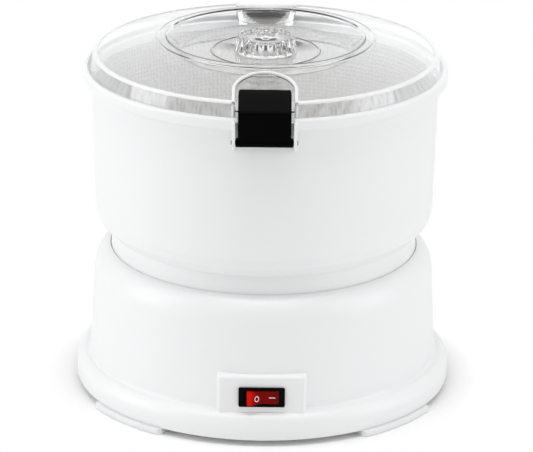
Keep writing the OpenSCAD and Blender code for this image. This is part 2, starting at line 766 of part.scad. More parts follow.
// The rocker tips about an upright axis, and its left end stands out at rest.
module rocker() {
    half = rocker_w / 2;
    color([0.72, 0.04, 0.05]) translate([0, -rocker_y, panel_mid_z]) rotate([0, 0, rocker_tilt]) {
        translate([0, 0, -rocker_h / 2]) linear_extrude(rocker_h)
            polygon([[-half, -6.3], [-half + 1, -6.4], [0, -3.9], [half - 1, -6.4], [half, -6.3],
                     [half - 0.2, -1], [half - 6, 4.5], [-half + 6, 4.5], [-half + 0.2, -1]]);
        translate([0, 0, -rocker_h / 2 - 1.5]) cylinder(r = rocker_pin_r, h = rocker_h + 3);
    }
}

// ---------------------------------------------------------------- cord inlet

gland_r = gland_bore_r + 3.2;
gland_seat_y = base_foot_r + 1.2;
gland_len = 15;

module cord_gland() {
    color(black) translate([0, gland_seat_y, gland_z]) rotate([90, 0, 0]) difference() {
        union() {
            translate([0, 0, -2.5]) cylinder(r1 = gland_r + 1.4, r2 = gland_r + 2.4, h = 2.5);
            cylinder(r = gland_r, h = gland_len - 2.5);
            translate([0, 0, 8.2]) cylinder(r1 = gland_r + 1.2, r2 = gland_r, h = 3);
        }
        translate([0, 0, -2.5 - cut]) cylinder(r = gland_bore_r, h = gland_len + 2 * cut);
    }
}

// ---------------------------------------------------------------- spindle

// Cast housing: flange under the deck, barrel for both bearings, and a neck
// that stands up through the drum floor and holds the shaft seal.
module bearing_housing() {
    seat_gap = 0.02;
    color([0.7, 0.71, 0.72]) difference() {
        union() {
            translate([0, 0, deck_low_z - flange_t]) cylinder(r = flange_r, h = flange_t);
            translate([0, 0, housing_low_z]) cylinder(r = housing_r, h = shoulder_z - housing_low_z);
            translate([0, 0, deck_low_z - 0.5]) cylinder(r = shoulder_r, h = shoulder_z - deck_low_z + 0.5);
            translate([0, 0, shoulder_z - 0.5]) cylinder(r = neck_r, h = neck_z - shoulder_z + 0.5);
            for (a = [0:90:270])
                rotate([0, 0, a]) rotate([90, 0, 0]) translate([0, 0, -1.5])
                linear_extrude(3) polygon([[housing_r - 1, lower_bearing_z + 6],
                                           [flange_r - 6, deck_low_z - flange_t + 0.5],
                                           [housing_r - 1, deck_low_z - flange_t + 0.5]]);
        }
        translate([0, 0, housing_low_z - cut]) cylinder(r = spindle_r + 3, h = 200);
        translate([0, 0, lower_bearing_z])
            cylinder(r = bearing_r - 1.5, h = upper_bearing_z - lower_bearing_z);
        translate([0, 0, lower_bearing_z - 10])
            cylinder(r = bearing_r + seat_gap, h = 10 + bearing_w);
        translate([0, 0, upper_bearing_z]) cylinder(r = bearing_r + seat_gap, h = 60);
        around(quarter_at, inner_screw_r)
            translate([0, 0, deck_low_z - flange_t - cut]) cylinder(r = clear_r, h = flange_t + 2 * cut);
    }
}

// A shielded ball bearing seen as one piece: two races and the shields.
module bearing(z) {
    race = 2.2;
    dip = 0.5;
    color(steel) translate([0, 0, z]) rotate_extrude()
        polygon([[spindle_r + run_gap, 0], [spindle_r + race, 0], [spindle_r + race, dip],
                 [bearing_r - race, dip], [bearing_r - race, 0], [bearing_r, 0],
                 [bearing_r, bearing_w], [bearing_r - race, bearing_w],
                 [bearing_r - race, bearing_w - dip], [spindle_r + race, bearing_w - dip],
                 [spindle_r + race, bearing_w], [spindle_r + run_gap, bearing_w]]);
}

module upper_bearing() { bearing(upper_bearing_z); }
module lower_bearing() { bearing(lower_bearing_z); }

module shaft_seal() {
    low = neck_z - seal_w - 0.5;
    color(black) rotate_extrude()
        polygon([[spindle_r + run_gap, low + 2], [spindle_r + 1.4, low + 1], [spindle_r + 3, low + 4.6],
                 [bearing_r - 2, low + 4.6], [bearing_r - 1.6, low], [bearing_r, low],
                 [bearing_r, low + seal_w], [spindle_r + 1.2, low + seal_w],
                 [spindle_r + run_gap, low + 6]]);
}

module bearing_screws() {
    color(steel) around(quarter_at, inner_screw_r) screw_up(deck_low_z - flange_t, 17);
}

// Two flats on a round bar, as on the top of the spindle.
module dog_2d(gap) {
    intersection() {
        circle(spindle_r + gap);
        square([2 * (spindle_r + gap), dog_flat + 2 * gap], center = true);
    }
}

module spindle() {
    color(steel) {
        translate([0, 0, spindle_z]) cylinder(r = spindle_r - 1, h = pulley_z - spindle_z);
        translate([0, 0, pulley_z]) cylinder(r = spindle_r, h = neck_z + 0.2 - pulley_z);
        translate([0, 0, pulley_z + pulley_w])
            cylinder(r = spindle_r + 2, h = lower_bearing_z - fit_gap - pulley_z - pulley_w);
        translate([0, 0, neck_z + 0.2])
            cylinder(r = spindle_r + 3.5, h = collar_top_z - neck_z - 0.2);
        translate([0, 0, collar_top_z]) linear_extrude(dog_top_z - collar_top_z) dog_2d(0);
    }
}

module spindle_nut() {
    color(steel) difference() {
        translate([0, 0, spindle_z + 1]) cylinder(r = spindle_r + 3, h = 5, $fn = 6);
        translate([0, 0, spindle_z]) cylinder(r = spindle_r - 1 + 0.02, h = 8);
    }
}

// A flanged flat-belt pulley.
module pulley(seat_r, bore_r) {
    difference() {
        rotate_extrude()
            polygon([[bore_r, 0], [seat_r + flange_over, 0], [seat_r + flange_over, flange_w - 0.4],
                     [seat_r, flange_w], [seat_r, pulley_w - flange_w],
                     [seat_r + flange_over, pulley_w - flange_w + 0.4],
                     [seat_r + flange_over, pulley_w], [bore_r, pulley_w]]);
        children();
    }
}

module driven_pulley() {
    web = 3;
    rim = 4;
    hub_r = 14;
    color([0.35, 0.36, 0.38]) translate([0, 0, pulley_z])
        pulley(driven_r, spindle_r + 0.02) {
            ring(driven_r - rim, hub_r, -cut, (pulley_w - web) / 2 + cut);
            ring(driven_r - rim, hub_r, (pulley_w + web) / 2, (pulley_w - web) / 2 + cut);
            around([0:60:300], (hub_r + driven_r - rim) / 2)
                translate([0, 0, -cut]) cylinder(r = 11, h = pulley_w + 2 * cut);
        }
}

// Outline of the belt's loop, grown by an amount from the pulley seats: the
// long arc around the driven pulley and the short one around the motor's.
function belt_loop(grow) = concat(
    arc(0, 0, driven_r + grow, driven_r + grow, 90 + belt_angle, 450 - belt_angle, 48),
    arc(0, belt_span, motor_pulley_r + grow, motor_pulley_r + grow,
        90 - belt_angle, 90 + belt_angle, 18));

module drive_belt() {
    color([0.12, 0.12, 0.12]) translate([0, 0, belt_z]) linear_extrude(belt_w)
        difference() {
            polygon(belt_loop(fit_gap + belt_t));
            polygon(belt_loop(fit_gap));
        }
}

// ---------------------------------------------------------------- motor

module motor_plate() {
    color(steel) at_motor() difference() {
        translate([0, 0, plate_z]) linear_extrude(plate_t)
            round_rect(2 * post_x + 14, 2 * post_y + 14, 10);
        translate([0, 0, plate_z - cut]) cylinder(r = 12, h = plate_t + 2 * cut);
        for (x = [-1, 1], y = [-1, 1]) {
            translate([x * post_x, y * post_y, plate_z - cut])
                cylinder(r = clear_r, h = plate_t + 2 * cut);
            translate([x * bolt_at, y * bolt_at, plate_z - cut])
                cylinder(r = clear_r, h = plate_t + 2 * cut);
        }
    }
}

module plate_screws() {
    color(steel) at_motor() for (x = [-1, 1], y = [-1, 1])
        translate([x * post_x, y * post_y, 0]) screw_up(plate_z, 15);
}

// Square stack of laminations with four poles that face the rotor.
module stator() {
    pole_w = 12;
    shoe_in = rotor_r + pole_gap;
    color([0.45, 0.45, 0.47]) at_motor() translate([0, 0, stack_z]) linear_extrude(stack_h)
        difference() {
            union() {
                difference() {
                    round_rect(stator_w, stator_w, 8);
                    circle(yoke_r);
                }
                intersection() {
                    circle(yoke_r + 1);
                    for (a = [0:90:270]) rotate(a) translate([0, -pole_w / 2]) square([yoke_r + 1, pole_w]);
                }
                intersection() {
                    circle(shoe_in + 2);
                    for (a = [0:90:270])
                        rotate(a) polygon([[0, 0], [40, -29], [40, 29]]);
                }
            }
            circle(shoe_in);
            for (x = [-1, 1], y = [-1, 1]) translate([x * bolt_at, y * bolt_at]) circle(clear_r);
        }
}

// Four coils, one around each pole.
module windings() {
    coil_in = rotor_r + pole_gap + 2 + 0.2;
    coil_out = yoke_r - 0.6;
    over = 6;
    color([0.72, 0.38, 0.16]) at_motor() for (a = [0:90:270])
        rotate([0, 0, a]) translate([coil_in, 0, stack_z - over])
        rotate([0, 90, 0]) translate([-(stack_h + 2 * over) / 2, 0, 0])
        linear_extrude(coil_out - coil_in - 1.8) difference() {
            round_rect(stack_h + 2 * over, 20, 4);
            square([stack_h + 0.4, 12.4], center = true);
        }
}

// A cast end bracket with a pocket for the coils and a bush for the shaft.
module bracket(h, floor_t) {
    difference() {
        union() {
            difference() {
                linear_extrude(h) round_rect(stator_w - 2, stator_w - 2, 8);
                translate([0, 0, floor_t]) cylinder(r = yoke_r + 1.5, h = h);
            }
            cylinder(r = motor_shaft_r + 4, h = floor_t + 2.5);
        }
        translate([0, 0, -cut]) cylinder(r = motor_shaft_r + run_gap, h = h + 2 * cut);
        for (x = [-1, 1], y = [-1, 1])
            translate([x * bolt_at, y * bolt_at, -cut]) cylinder(r = clear_r, h = h + 2 * cut);
        for (a = [0:90:270])
            rotate([0, 0, a + 45]) translate([19, 0, -cut]) cylinder(r = 5, h = floor_t + 2 * cut);
    }
}

module motor_bracket_lower() {
    color([0.7, 0.71, 0.72]) at_motor() translate([0, 0, plate_top_z]) bracket(bracket_low_h, 3);
}

module motor_bracket_upper() {
    color([0.7, 0.71, 0.72]) at_motor() translate([0, 0, bracket_top_z])
        mirror([0, 0, 1]) bracket(bracket_up_h, 3);
}

module motor_bolts() {
    color(steel) at_motor() for (x = [-1, 1], y = [-1, 1]) translate([x * bolt_at, y * bolt_at, 0]) {
        translate([0, 0, bracket_top_z]) cylinder(r = 3.4, h = 2.6);
        translate([0, 0, plate_z - 4]) cylinder(r = 1.9, h = bracket_top_z - plate_z + 4);
        translate([0, 0, plate_z - 2.8]) cylinder(r = 3.6, h = 2.8, $fn = 6);
    }
}

module motor_shaft() {
    color(steel) at_motor() translate([0, 0, pulley_z - 1.5])
        cylinder(r = motor_shaft_r, h = fan_z + fan_h - pulley_z + 1.5);
}

module rotor() {
    color([0.5, 0.5, 0.52]) at_motor() {
        ring(rotor_r, motor_shaft_r + 0.02, stack_z, stack_h);
        ring(rotor_r - 1, rotor_r - 5, stack_z - 1.5, stack_h + 3);
    }
}

module motor_pulley() {
    color([0.35, 0.36, 0.38]) at_motor() translate([0, 0, pulley_z])
        pulley(motor_pulley_r, motor_shaft_r + 0.02) {
            translate([0, 0, pulley_w / 2]) rotate([90, 0, 0]) cylinder(r = 1.5, h = 20);
        }
}

module cooling_fan() {
    blades = 7;
    color([0.2, 0.2, 0.21]) at_motor() translate([0, 0, fan_z]) {
        ring(8, motor_shaft_r + 0.02, 0, fan_h);
        ring(26, 7.5, 0, 1.2);
        for (i = [0:blades - 1])
            rotate([0, 0, 360 * i / blades]) translate([7.5, -0.7, 1])
            rotate([0, 0, 14]) cube([18, 1.4, fan_h - 1]);
    }
}

// ---------------------------------------------------------------- disc

ridge_r = 8;
ridge_rim = 8;

// Footprint of the three ridges, grown by an amount.
module ridges_2d(grow) {
    for (a = [0:120:240]) rotate(a + 30) translate([0, -ridge_r - grow])
        square([disc_r - ridge_rim + grow, 2 * (ridge_r + grow)]);
}

// One rounded ridge with a ball end towards the rim.
module ridge() {
    end = disc_r - ridge_rim - ridge_r;
    intersection() {
        translate([0, 0, ridge_h - ridge_r]) {
            translate([boss_r - 2, 0, 0]) rotate([0, 90, 0]) cylinder(r = ridge_r, h = end - boss_r + 2);
            translate([end, 0, 0]) sphere(ridge_r);
        }
        translate([0, -20, -disc_t / 2]) cube([disc_r, 40, 40]);
    }
}

module peeling_disc() {
    color([0.88, 0.89, 0.9]) difference() {
        union() {
            translate([0, 0, disc_z]) rotate_extrude()
                polygon([[0, 0], [disc_r - 1, 0], [disc_r, 1], [disc_r, disc_t - 1],
                         [disc_r - 1, disc_t], [boss_r + 1.5, disc_t], [boss_r, disc_t + 1.5],
                         [boss_r - 2, disc_t + boss_h - 3], [boss_r - 5, disc_t + boss_h],
                         [0, disc_t + boss_h]]);
            for (a = [0:120:240]) rotate([0, 0, a + 30]) translate([0, 0, disc_top_z]) ridge();
        }
        translate([0, 0, disc_z - cut]) linear_extrude(dog_top_z - disc_z + cut + 0.5) dog_2d(0.08);
    }
}

module disc_abrasive() {
    edge = 3;
    color([0.55, 0.5, 0.45]) translate([0, 0, disc_top_z]) linear_extrude(grit_t) difference() {
        circle(disc_r - edge);
        circle(boss_r + 3);
        ridges_2d(0.3);
    }
}

base_housing();
bottom_cover();
foot_front_left();
foot_front_right();
foot_rear_left();
foot_rear_right();
drum();
drum_foot();
wall_liner();
latch_pins();
switch_bezel();
switch_terminals();
rocker();
cord_gland();
bearing_housing();
upper_bearing();
lower_bearing();
shaft_seal();
drum_gasket();
motor_plate();
stator();
windings();
motor_bracket_lower();
motor_bracket_upper();
cover_screws();
drum_screws();
bearing_screws();
plate_screws();
motor_bolts();
spindle();
driven_pulley();
spindle_nut();
drive_belt();
motor_shaft();
rotor();
motor_pulley();
cooling_fan();
peeling_disc();
disc_abrasive();
lid();
filler_cap();
latch_front();
latch_rear();
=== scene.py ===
import math

import bmesh
import bpy
import numpy as np
from mathutils import Matrix, Vector


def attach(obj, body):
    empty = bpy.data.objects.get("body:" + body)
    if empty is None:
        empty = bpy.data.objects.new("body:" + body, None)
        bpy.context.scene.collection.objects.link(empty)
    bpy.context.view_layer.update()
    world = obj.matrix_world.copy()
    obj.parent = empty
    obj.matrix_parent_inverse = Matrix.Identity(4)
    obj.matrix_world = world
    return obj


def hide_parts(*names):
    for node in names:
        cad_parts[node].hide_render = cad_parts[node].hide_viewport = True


# An electric potato peeler. Lengths are in millimetres until a mesh is made.
MM = 0.001

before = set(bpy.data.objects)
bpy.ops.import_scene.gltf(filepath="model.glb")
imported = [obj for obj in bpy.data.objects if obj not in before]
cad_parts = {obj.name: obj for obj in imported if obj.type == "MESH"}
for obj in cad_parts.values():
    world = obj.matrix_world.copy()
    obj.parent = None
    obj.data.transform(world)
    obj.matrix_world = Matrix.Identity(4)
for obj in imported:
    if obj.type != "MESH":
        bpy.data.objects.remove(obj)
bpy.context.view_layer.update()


# ---- camera

PHOTO_W = 533  # pixels
FOCAL_PX = 3136.3  # focal length in pixels of the photo
SENSOR = 36  # width of the camera's sensor
DISTANCE = 2265.6  # from the point aimed at to the camera
ELEVATION = 20.04  # degrees above the horizon
ROLL = 0.656  # degrees about the line of sight
AIM = (2.0, 0.0, 114.0)


def place_camera():
    """The lens is the focal length in pixels times the sensor's width over the
    photo's. The camera stands at DISTANCE from AIM, at ELEVATION above it, and
    is rolled about its own axis."""
    data = bpy.data.cameras.new("camera")
    data.sensor_width = SENSOR
    data.lens = FOCAL_PX * SENSOR / PHOTO_W
    data.clip_start, data.clip_end = 0.1, 50
    el = math.radians(ELEVATION)
    away = Vector((0, -math.cos(el), math.sin(el)))
    right = Vector((1, 0, 0))
    axes = Matrix((right, away.cross(right), away)).transposed()
    axes = axes @ Matrix.Rotation(math.radians(ROLL), 3, "Z")
    spot = Matrix.Translation((Vector(AIM) + away * DISTANCE) * MM)
    cam = bpy.data.objects.new("camera", data)
    cam.matrix_world = spot @ axes.to_4x4()
    bpy.context.scene.collection.objects.link(cam)
    bpy.context.scene.camera = cam


place_camera()


# ---- outlines

EDGE_SHARE = 0.48  # the most of an edge that one rounded corner may take


def arc(cx, cy, rx, ry, start, end, n=8):
    """Points centre + (rx cos t, ry sin t) for t from start to end degrees."""
    t = np.radians(np.linspace(start, end, n + 1))
    return np.stack([cx + rx * np.cos(t), cy + ry * np.sin(t)], 1)


def rounded(corners, n=6):
    """Closed outline through corners (x, y, radius): an arc that touches both
    edges takes the place of each corner that has a radius."""
    points = np.array([c[:2] for c in corners], float)
    out = []
    for i, corner in enumerate(corners):
        here = points[i]
        if len(corner) < 3:
            out.append(here[None])
            continue
        a, b = points[i - 1] - here, points[(i + 1) % len(points)] - here
        la, lb = np.linalg.norm(a), np.linalg.norm(b)
        a, b = a / la, b / lb
        half = math.acos(np.clip(a @ b, -1, 1)) / 2
        back = min(corner[2] / math.tan(half), EDGE_SHARE * la, EDGE_SHARE * lb)
        radius = back * math.tan(half)
        centre = here + (a + b) / np.linalg.norm(a + b) * radius / math.sin(half)
        t0 = math.atan2(*(here + a * back - centre)[::-1])
        t1 = math.atan2(*(here + b * back - centre)[::-1])
        t1 = t0 + (t1 - t0 + math.pi) % (2 * math.pi) - math.pi
        t = np.linspace(t0, t1, n + 1)
        out.append(centre + radius * np.stack([np.cos(t), np.sin(t)], 1))
    return np.vstack(out)


def soft_rect(w, h, r, n=6):
    """Rectangle of w by h around the origin with corners of radius r."""
    x, y = w / 2, h / 2
    return rounded([(x, -y, r), (x, y, r), (-x, y, r), (-x, -y, r)], n)


def box(x0, x1, y0, y1):
    """Rectangle between two values each way, with sharp corners."""
    return np.array([[x0, y0], [x1, y0], [x1, y1], [x0, y1]], float)


def on_circle(r, *degrees):
    """Places (x, y) in the given directions, r from the axis."""
    return [(r * math.cos(a), r * math.sin(a)) for a in map(math.radians, degrees)]


def unit(rows):
    """Each row divided by its length."""
    return rows / np.linalg.norm(rows, axis=1)[:, None]


# ---- meshes

SAME_POINT = 1e-7  # metres within which two points are one


def quads(n, m, wrap_n, wrap_m):
    """Faces between neighbours of an n by m grid of points, which closes on
    itself either way where wrap says so."""
    i = np.arange(n if wrap_n else n - 1)[:, None]
    j = np.arange(m if wrap_m else m - 1)[None, :]
    k, l = (i + 1) % n, (j + 1) % m
    corners = np.broadcast_arrays(i * m + j, k * m + j, k * m + l, i * m + l)
    return np.stack(corners, -1).reshape(-1, 4).tolist()


def solid(name, verts, faces, recalc=False):
    """An object from points in millimetres, with doubled points merged. recalc
    turns its faces outwards."""
    data = bpy.data.meshes.new(name)
    points = np.asarray(verts, float).reshape(-1, 3) * MM
    data.from_pydata(points.tolist(), [], faces)
    bm = bmesh.new()
    bm.from_mesh(data)
    bmesh.ops.remove_doubles(bm, verts=bm.verts, dist=SAME_POINT)
    if recalc:
        bmesh.ops.recalc_face_normals(bm, faces=bm.faces)
    bm.to_mesh(data)
    bm.free()
    obj = bpy.data.objects.new(name, data)
    bpy.context.scene.collection.objects.link(obj)
    return obj


def turned(name, outline, segments=192, angles=None, shape=None):
    """Outline (r, z), with the material on its left, carried round the Z axis:
    x is r cos a and y is r sin a, in equal steps or at the angles given in
    degrees. shape(r, z, a) may return other radii and heights for the grid."""
    a = np.arange(segments) * 2 * np.pi / segments
    if angles is not None:
        a = np.radians(angles)
    r, z, a = np.broadcast_arrays(outline[None, :, 0], outline[None, :, 1], a[:, None])
    if shape:
        r, z = shape(r, z, a)
    closed = min(outline[0, 0], outline[-1, 0]) > 0
    verts = np.stack([r * np.cos(a), r * np.sin(a), z], -1)
    return solid(name, verts, quads(*r.shape, True, closed))


def prism(name, outline, low, high, along="x"):
    """Flat outline carried straight from low to high. Its two values are y and
    z along x, x and z along y, and x and y along z."""
    n = len(outline)
    levels = np.repeat([float(low), float(high)], n)
    verts = np.insert(np.vstack([outline, outline]), "xyz".index(along), levels, axis=1)
    k = np.arange(n)
    sides = np.stack([k, (k + 1) % n, (k + 1) % n + n, k + n], 1).tolist()
    return solid(name, verts, sides + [k.tolist()[::-1], (k + n).tolist()], recalc=True)


def tube(name, rings):
    """Closed rings of points, joined one after the other, with flat ends."""
    n, m = rings.shape[:2]
    ends = [list(range(m)), list(range((n - 1) * m, n * m))]
    return solid(name, rings, quads(n, m, False, True) + ends, recalc=True)


def sector(name, outline, start, end, n, facing=0):
    """Closed outline (r, z) carried round from start to end in n steps. Both
    are in degrees, for all points or for each. Both ends get one flat face, or
    strips between the first and the last of the points that face each other."""
    r, z = outline[:, 0], outline[:, 1]
    t = np.linspace(0, 1, n + 1)[:, None]
    a = np.radians(start + (end - start) * t + 0 * r)
    verts = np.stack([r * np.cos(a), r * np.sin(a), np.broadcast_to(z, a.shape)], -1)
    m = len(r)
    end_wall = [list(range(m))]
    if facing:
        half = facing // 2
        end_wall = [[i, i + 1, facing - 2 - i, facing - 1 - i] for i in range(half - 1)]
        end_wall += [[half - 1, half, half + 1], list(range(facing - 1, m)) + [0]]
    caps = end_wall + [[i + n * m for i in face] for face in end_wall]
    return solid(name, verts, quads(n + 1, m, False, True) + caps, recalc=True)


def settle(obj):
    """Puts the result of the modifiers into the mesh."""
    graph = bpy.context.evaluated_depsgraph_get()
    old = obj.data
    obj.data = bpy.data.meshes.new_from_object(obj.evaluated_get(graph))
    obj.modifiers.clear()
    bpy.data.meshes.remove(old)
    return obj


def ease(obj, width, segments=3, angle=30):
    """Rounds the edges that are sharper than angle."""
    mod = obj.modifiers.new("ease", "BEVEL")
    mod.width, mod.segments, mod.limit_method = width * MM, segments, "ANGLE"
    mod.angle_limit = math.radians(angle)
    mod.use_clamp_overlap = True
    return settle(obj)


def combine(obj, tool, how):
    """Boolean of obj with tool, which is used up."""
    mod = obj.modifiers.new("join", "BOOLEAN")
    mod.object, mod.operation, mod.solver = tool, how, "EXACT"
    settle(obj)
    bpy.data.objects.remove(tool)
    return obj


def cut(obj, *tools):
    """Takes the tools away from obj."""
    for tool in tools:
        combine(obj, tool, "DIFFERENCE")
    return obj


def weld(obj, *tools):
    """Joins the tools to obj as one skin."""
    for tool in tools:
        combine(obj, tool, "UNION")
    return obj


def lump(obj, *others):
    """Adds other meshes to obj as they are."""
    bm = bmesh.new()
    for o in (obj, *others):
        bm.from_mesh(o.data)
    bm.to_mesh(obj.data)
    bm.free()
    for o in others:
        bpy.data.objects.remove(o)
    return obj


def shift(x, y, z):
    """Move by x, y and z millimetres."""
    return Matrix.Translation((x * MM, y * MM, z * MM))


def about(axis, degrees):
    """Turn about an axis through the origin."""
    return Matrix.Rotation(math.radians(degrees), 4, axis)


def moved(obj, matrix):
    """Moves the mesh, while the object stays at the origin."""
    obj.data.transform(matrix)
    return obj


def as_made(obj):
    """Leaves a piece at the front, where it is made."""
    return obj


def half_turn(obj):
    """Turns a piece from the front to the rear."""
    return moved(obj, about("Z", 180))


def copies(make, *degrees):
    """Pieces from make(), turned about Z by each of the angles."""
    return [moved(make(), about("Z", a)) for a in degrees]


def along_y(obj, y, z):
    """Turns a piece made round the Z axis so that it lies along +Y, at y and z."""
    return moved(obj, shift(0, y, z) @ about("X", -90))


def rod(name, r, low, high, segments=48, x=0.0, y=0.0, edge=0.0):
    """Round bar along Z with its ends eased by edge."""
    ring = [(r, low, edge), (r, high, edge)] if edge else [(r, low), (r, high)]
    body = turned(name, rounded([(0, low), *ring, (0, high)], 3), segments)
    return moved(body, shift(x, y, 0))


def cross_rod(name, r, half, segments=32, edge=0.0):
    """Round bar along X, which reaches as far to the left as to the right."""
    return moved(rod(name, r, -half, half, segments, edge=edge), about("Y", 90))


def hand_over(obj, material, body, slot, *nodes, sharp=32):
    """Gives a finished piece its look, its body and the CAD nodes it stands for."""
    obj.data.materials.clear()
    obj.data.materials.append(material)
    obj.data.shade_smooth()
    obj.data.set_sharp_from_angle(angle=math.radians(sharp))
    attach(obj, body)
    if nodes:
        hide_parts(*nodes)


# ---- finishes

def link(tree, a, b):
    """Joins output a to input b."""
    tree.links.new(a, b)


def set_sockets(node, **values):
    """Sets inputs by name: specular_ior_level is Specular IOR Level."""
    for key, value in values.items():
        label = key.replace("_", " ").title().replace("Ior", "IOR")
        node.inputs[label].default_value = value


def add(tree, kind, **values):
    """A new shader node of that kind with the given inputs set."""
    node = tree.nodes.new("ShaderNode" + kind)
    set_sockets(node, **values)
    return node


def start_material(name):
    """A new material, its node tree, its shader and its Object coordinates."""
    mat = bpy.data.materials.new(name)
    mat.use_nodes = True
    tree = mat.node_tree
    shader = tree.nodes["Principled BSDF"]
    return mat, tree, shader, add(tree, "TexCoord").outputs["Object"]


def maths(tree, operation, *values):
    """One arithmetic node, whose inputs are plain numbers or other outputs."""
    node = add(tree, "Math")
    node.operation = operation
    for socket, value in zip(node.inputs, values):
        if isinstance(value, (int, float)):
            socket.default_value = value
        else:
            link(tree, value, socket)
    return node.outputs["Value"]


def noise(tree, place, scale, detail=3.0):
    """Soft random field with about scale spots to the metre."""
    node = add(tree, "TexNoise", scale=scale, detail=detail, roughness=0.55)
    link(tree, place, node.inputs["Vector"])
    return node.outputs["Fac"]


def spread(tree, value, low, high, from_low=0.3, from_high=0.7):
    """Maps value from one range to another in a straight line, clipped."""
    node = add(tree, "MapRange", from_min=from_low, from_max=from_high, to_min=low, to_max=high)
    link(tree, value, node.inputs["Value"])
    return node.outputs["Result"]


def blend(tree, fac, a, b):
    """Colour a where fac is 0 and b where it is 1. Each is a plain colour or
    another output."""
    node = add(tree, "Mix")
    node.data_type = "RGBA"
    for key, colour in (("A", a), ("B", b)):
        if isinstance(colour, tuple):
            node.inputs[key].default_value = (*colour, 1)
        else:
            link(tree, colour, node.inputs[key])
    link(tree, fac, node.inputs["Factor"])
    return node.outputs["Result"]


def bump(tree, shader, height, distance, strength=1.0, then=None):
    """Tilts the surface by the slope of height, on top of what then tilts."""
    node = add(tree, "Bump", distance=distance, strength=strength)
    link(tree, height, node.inputs["Height"])
    if then:
        link(tree, then, node.inputs["Normal"])
    link(tree, node.outputs["Normal"], shader.inputs["Normal"])
    return node.outputs["Normal"]


def choose(tree, fac, first, second):
    """Surface of the material: first where fac is 0 and second where it is 1."""
    mix = add(tree, "MixShader")
    link(tree, fac, mix.inputs["Fac"])
    link(tree, first.outputs[0], mix.inputs[1])
    link(tree, second.outputs[0], mix.inputs[2])
    link(tree, mix.outputs["Shader"], tree.nodes["Material Output"].inputs["Surface"])


def moulded(name, colour, shade, rough, rough_spread, grain, depth, **sockets):
    """Moulded plastic, cast metal and rubber: a colour that drifts towards
    shade, a roughness that varies in patches, and a fine grain."""
    mat, tree, shader, place = start_material(name)
    tint = blend(tree, spread(tree, noise(tree, place, 14.0), 0, 1), colour, shade)
    link(tree, tint, shader.inputs["Base Color"])
    patch = noise(tree, place, 60.0, 4.0)
    rough = spread(tree, patch, rough - rough_spread, rough + rough_spread)
    link(tree, rough, shader.inputs["Roughness"])
    bump(tree, shader, noise(tree, place, grain, 2.0), depth)
    set_sockets(shader, **sockets)
    return mat


def brushed(name, colour, rough, stretch, scale=60.0):
    """Metal with fine lines: noise pulled out along the way it was worked."""
    mat, tree, shader, place = start_material(name)
    pull = add(tree, "Mapping", scale=stretch)
    link(tree, place, pull.inputs["Vector"])
    lines = noise(tree, pull.outputs["Vector"], scale, 4.0)
    dark = tuple(0.82 * c for c in colour)
    link(tree, blend(tree, spread(tree, lines, 0, 1), colour, dark), shader.inputs["Base Color"])
    link(tree, spread(tree, lines, rough - 0.08, rough + 0.1), shader.inputs["Roughness"])
    bump(tree, shader, lines, 0.00002, 0.6)
    set_sockets(shader, metallic=1.0)
    return mat


def banded(name, colour, dark, pitch, rough, metallic):
    """Layers up the Z axis, as on stacked sheet or wound wire: a wave of the
    given pitch drives colour and bump. The node's wave is 2 pi / 20 long at
    scale 1, which is 0.314."""
    mat, tree, shader, place = start_material(name)
    wave = add(tree, "TexWave", scale=0.314 / (pitch * MM), distortion=0.3)
    wave.bands_direction = "Z"
    link(tree, place, wave.inputs["Vector"])
    link(tree, blend(tree, wave.outputs["Fac"], dark, colour), shader.inputs["Base Color"])
    rough = spread(tree, noise(tree, place, 80.0), rough - 0.06, rough + 0.06)
    link(tree, rough, shader.inputs["Roughness"])
    bump(tree, shader, wave.outputs["Fac"], 0.0002)
    set_sockets(shader, metallic=metallic)
    return mat


def clear_plastic(name, tint, rough, passes):
    """Clear moulded plastic: glass of the plastic's index, which lets lamps
    through with the tint that two of its faces would take."""
    mat, tree, shader, place = start_material(name)
    set_sockets(shader, base_color=(*tint, 1), transmission_weight=1.0, ior=1.49)
    smear = noise(tree, place, 45.0, 4.0)
    link(tree, spread(tree, smear, rough * 0.6, rough * 1.5), shader.inputs["Roughness"])
    bump(tree, shader, noise(tree, place, 40.0, 2.0), 0.00001, 0.5)
    through = add(tree, "BsdfTransparent", color=(*passes, 1))
    choose(tree, add(tree, "LightPath").outputs["Is Shadow Ray"], shader, through)
    return mat


def dotted_liner(name):
    """Sleeve with staggered raised dots: cells of the piece's own map in
    millimetres, which turn to a bump and a slightly darker ring."""
    pitch, pale, dark = 3.2, (0.76, 0.764, 0.768), (0.68, 0.684, 0.688)
    mat, tree, shader, place = start_material(name)
    own = add(tree, "UVMap")
    own.uv_map = "sleeve"
    dots = add(tree, "TexVoronoi", scale=1 / pitch, randomness=0.35)
    dots.voronoi_dimensions = "2D"
    link(tree, own.outputs["UV"], dots.inputs["Vector"])
    near = spread(tree, dots.outputs["Distance"], 1, 0, 0.12, 0.42)
    grit = noise(tree, place, 1500.0, 2.0)
    link(tree, blend(tree, near, pale, dark), shader.inputs["Base Color"])
    link(tree, spread(tree, grit, 0.5, 0.75), shader.inputs["Roughness"])
    first = bump(tree, shader, grit, 0.00015)
    bump(tree, shader, near, 0.0003, 1.0, first)
    return mat


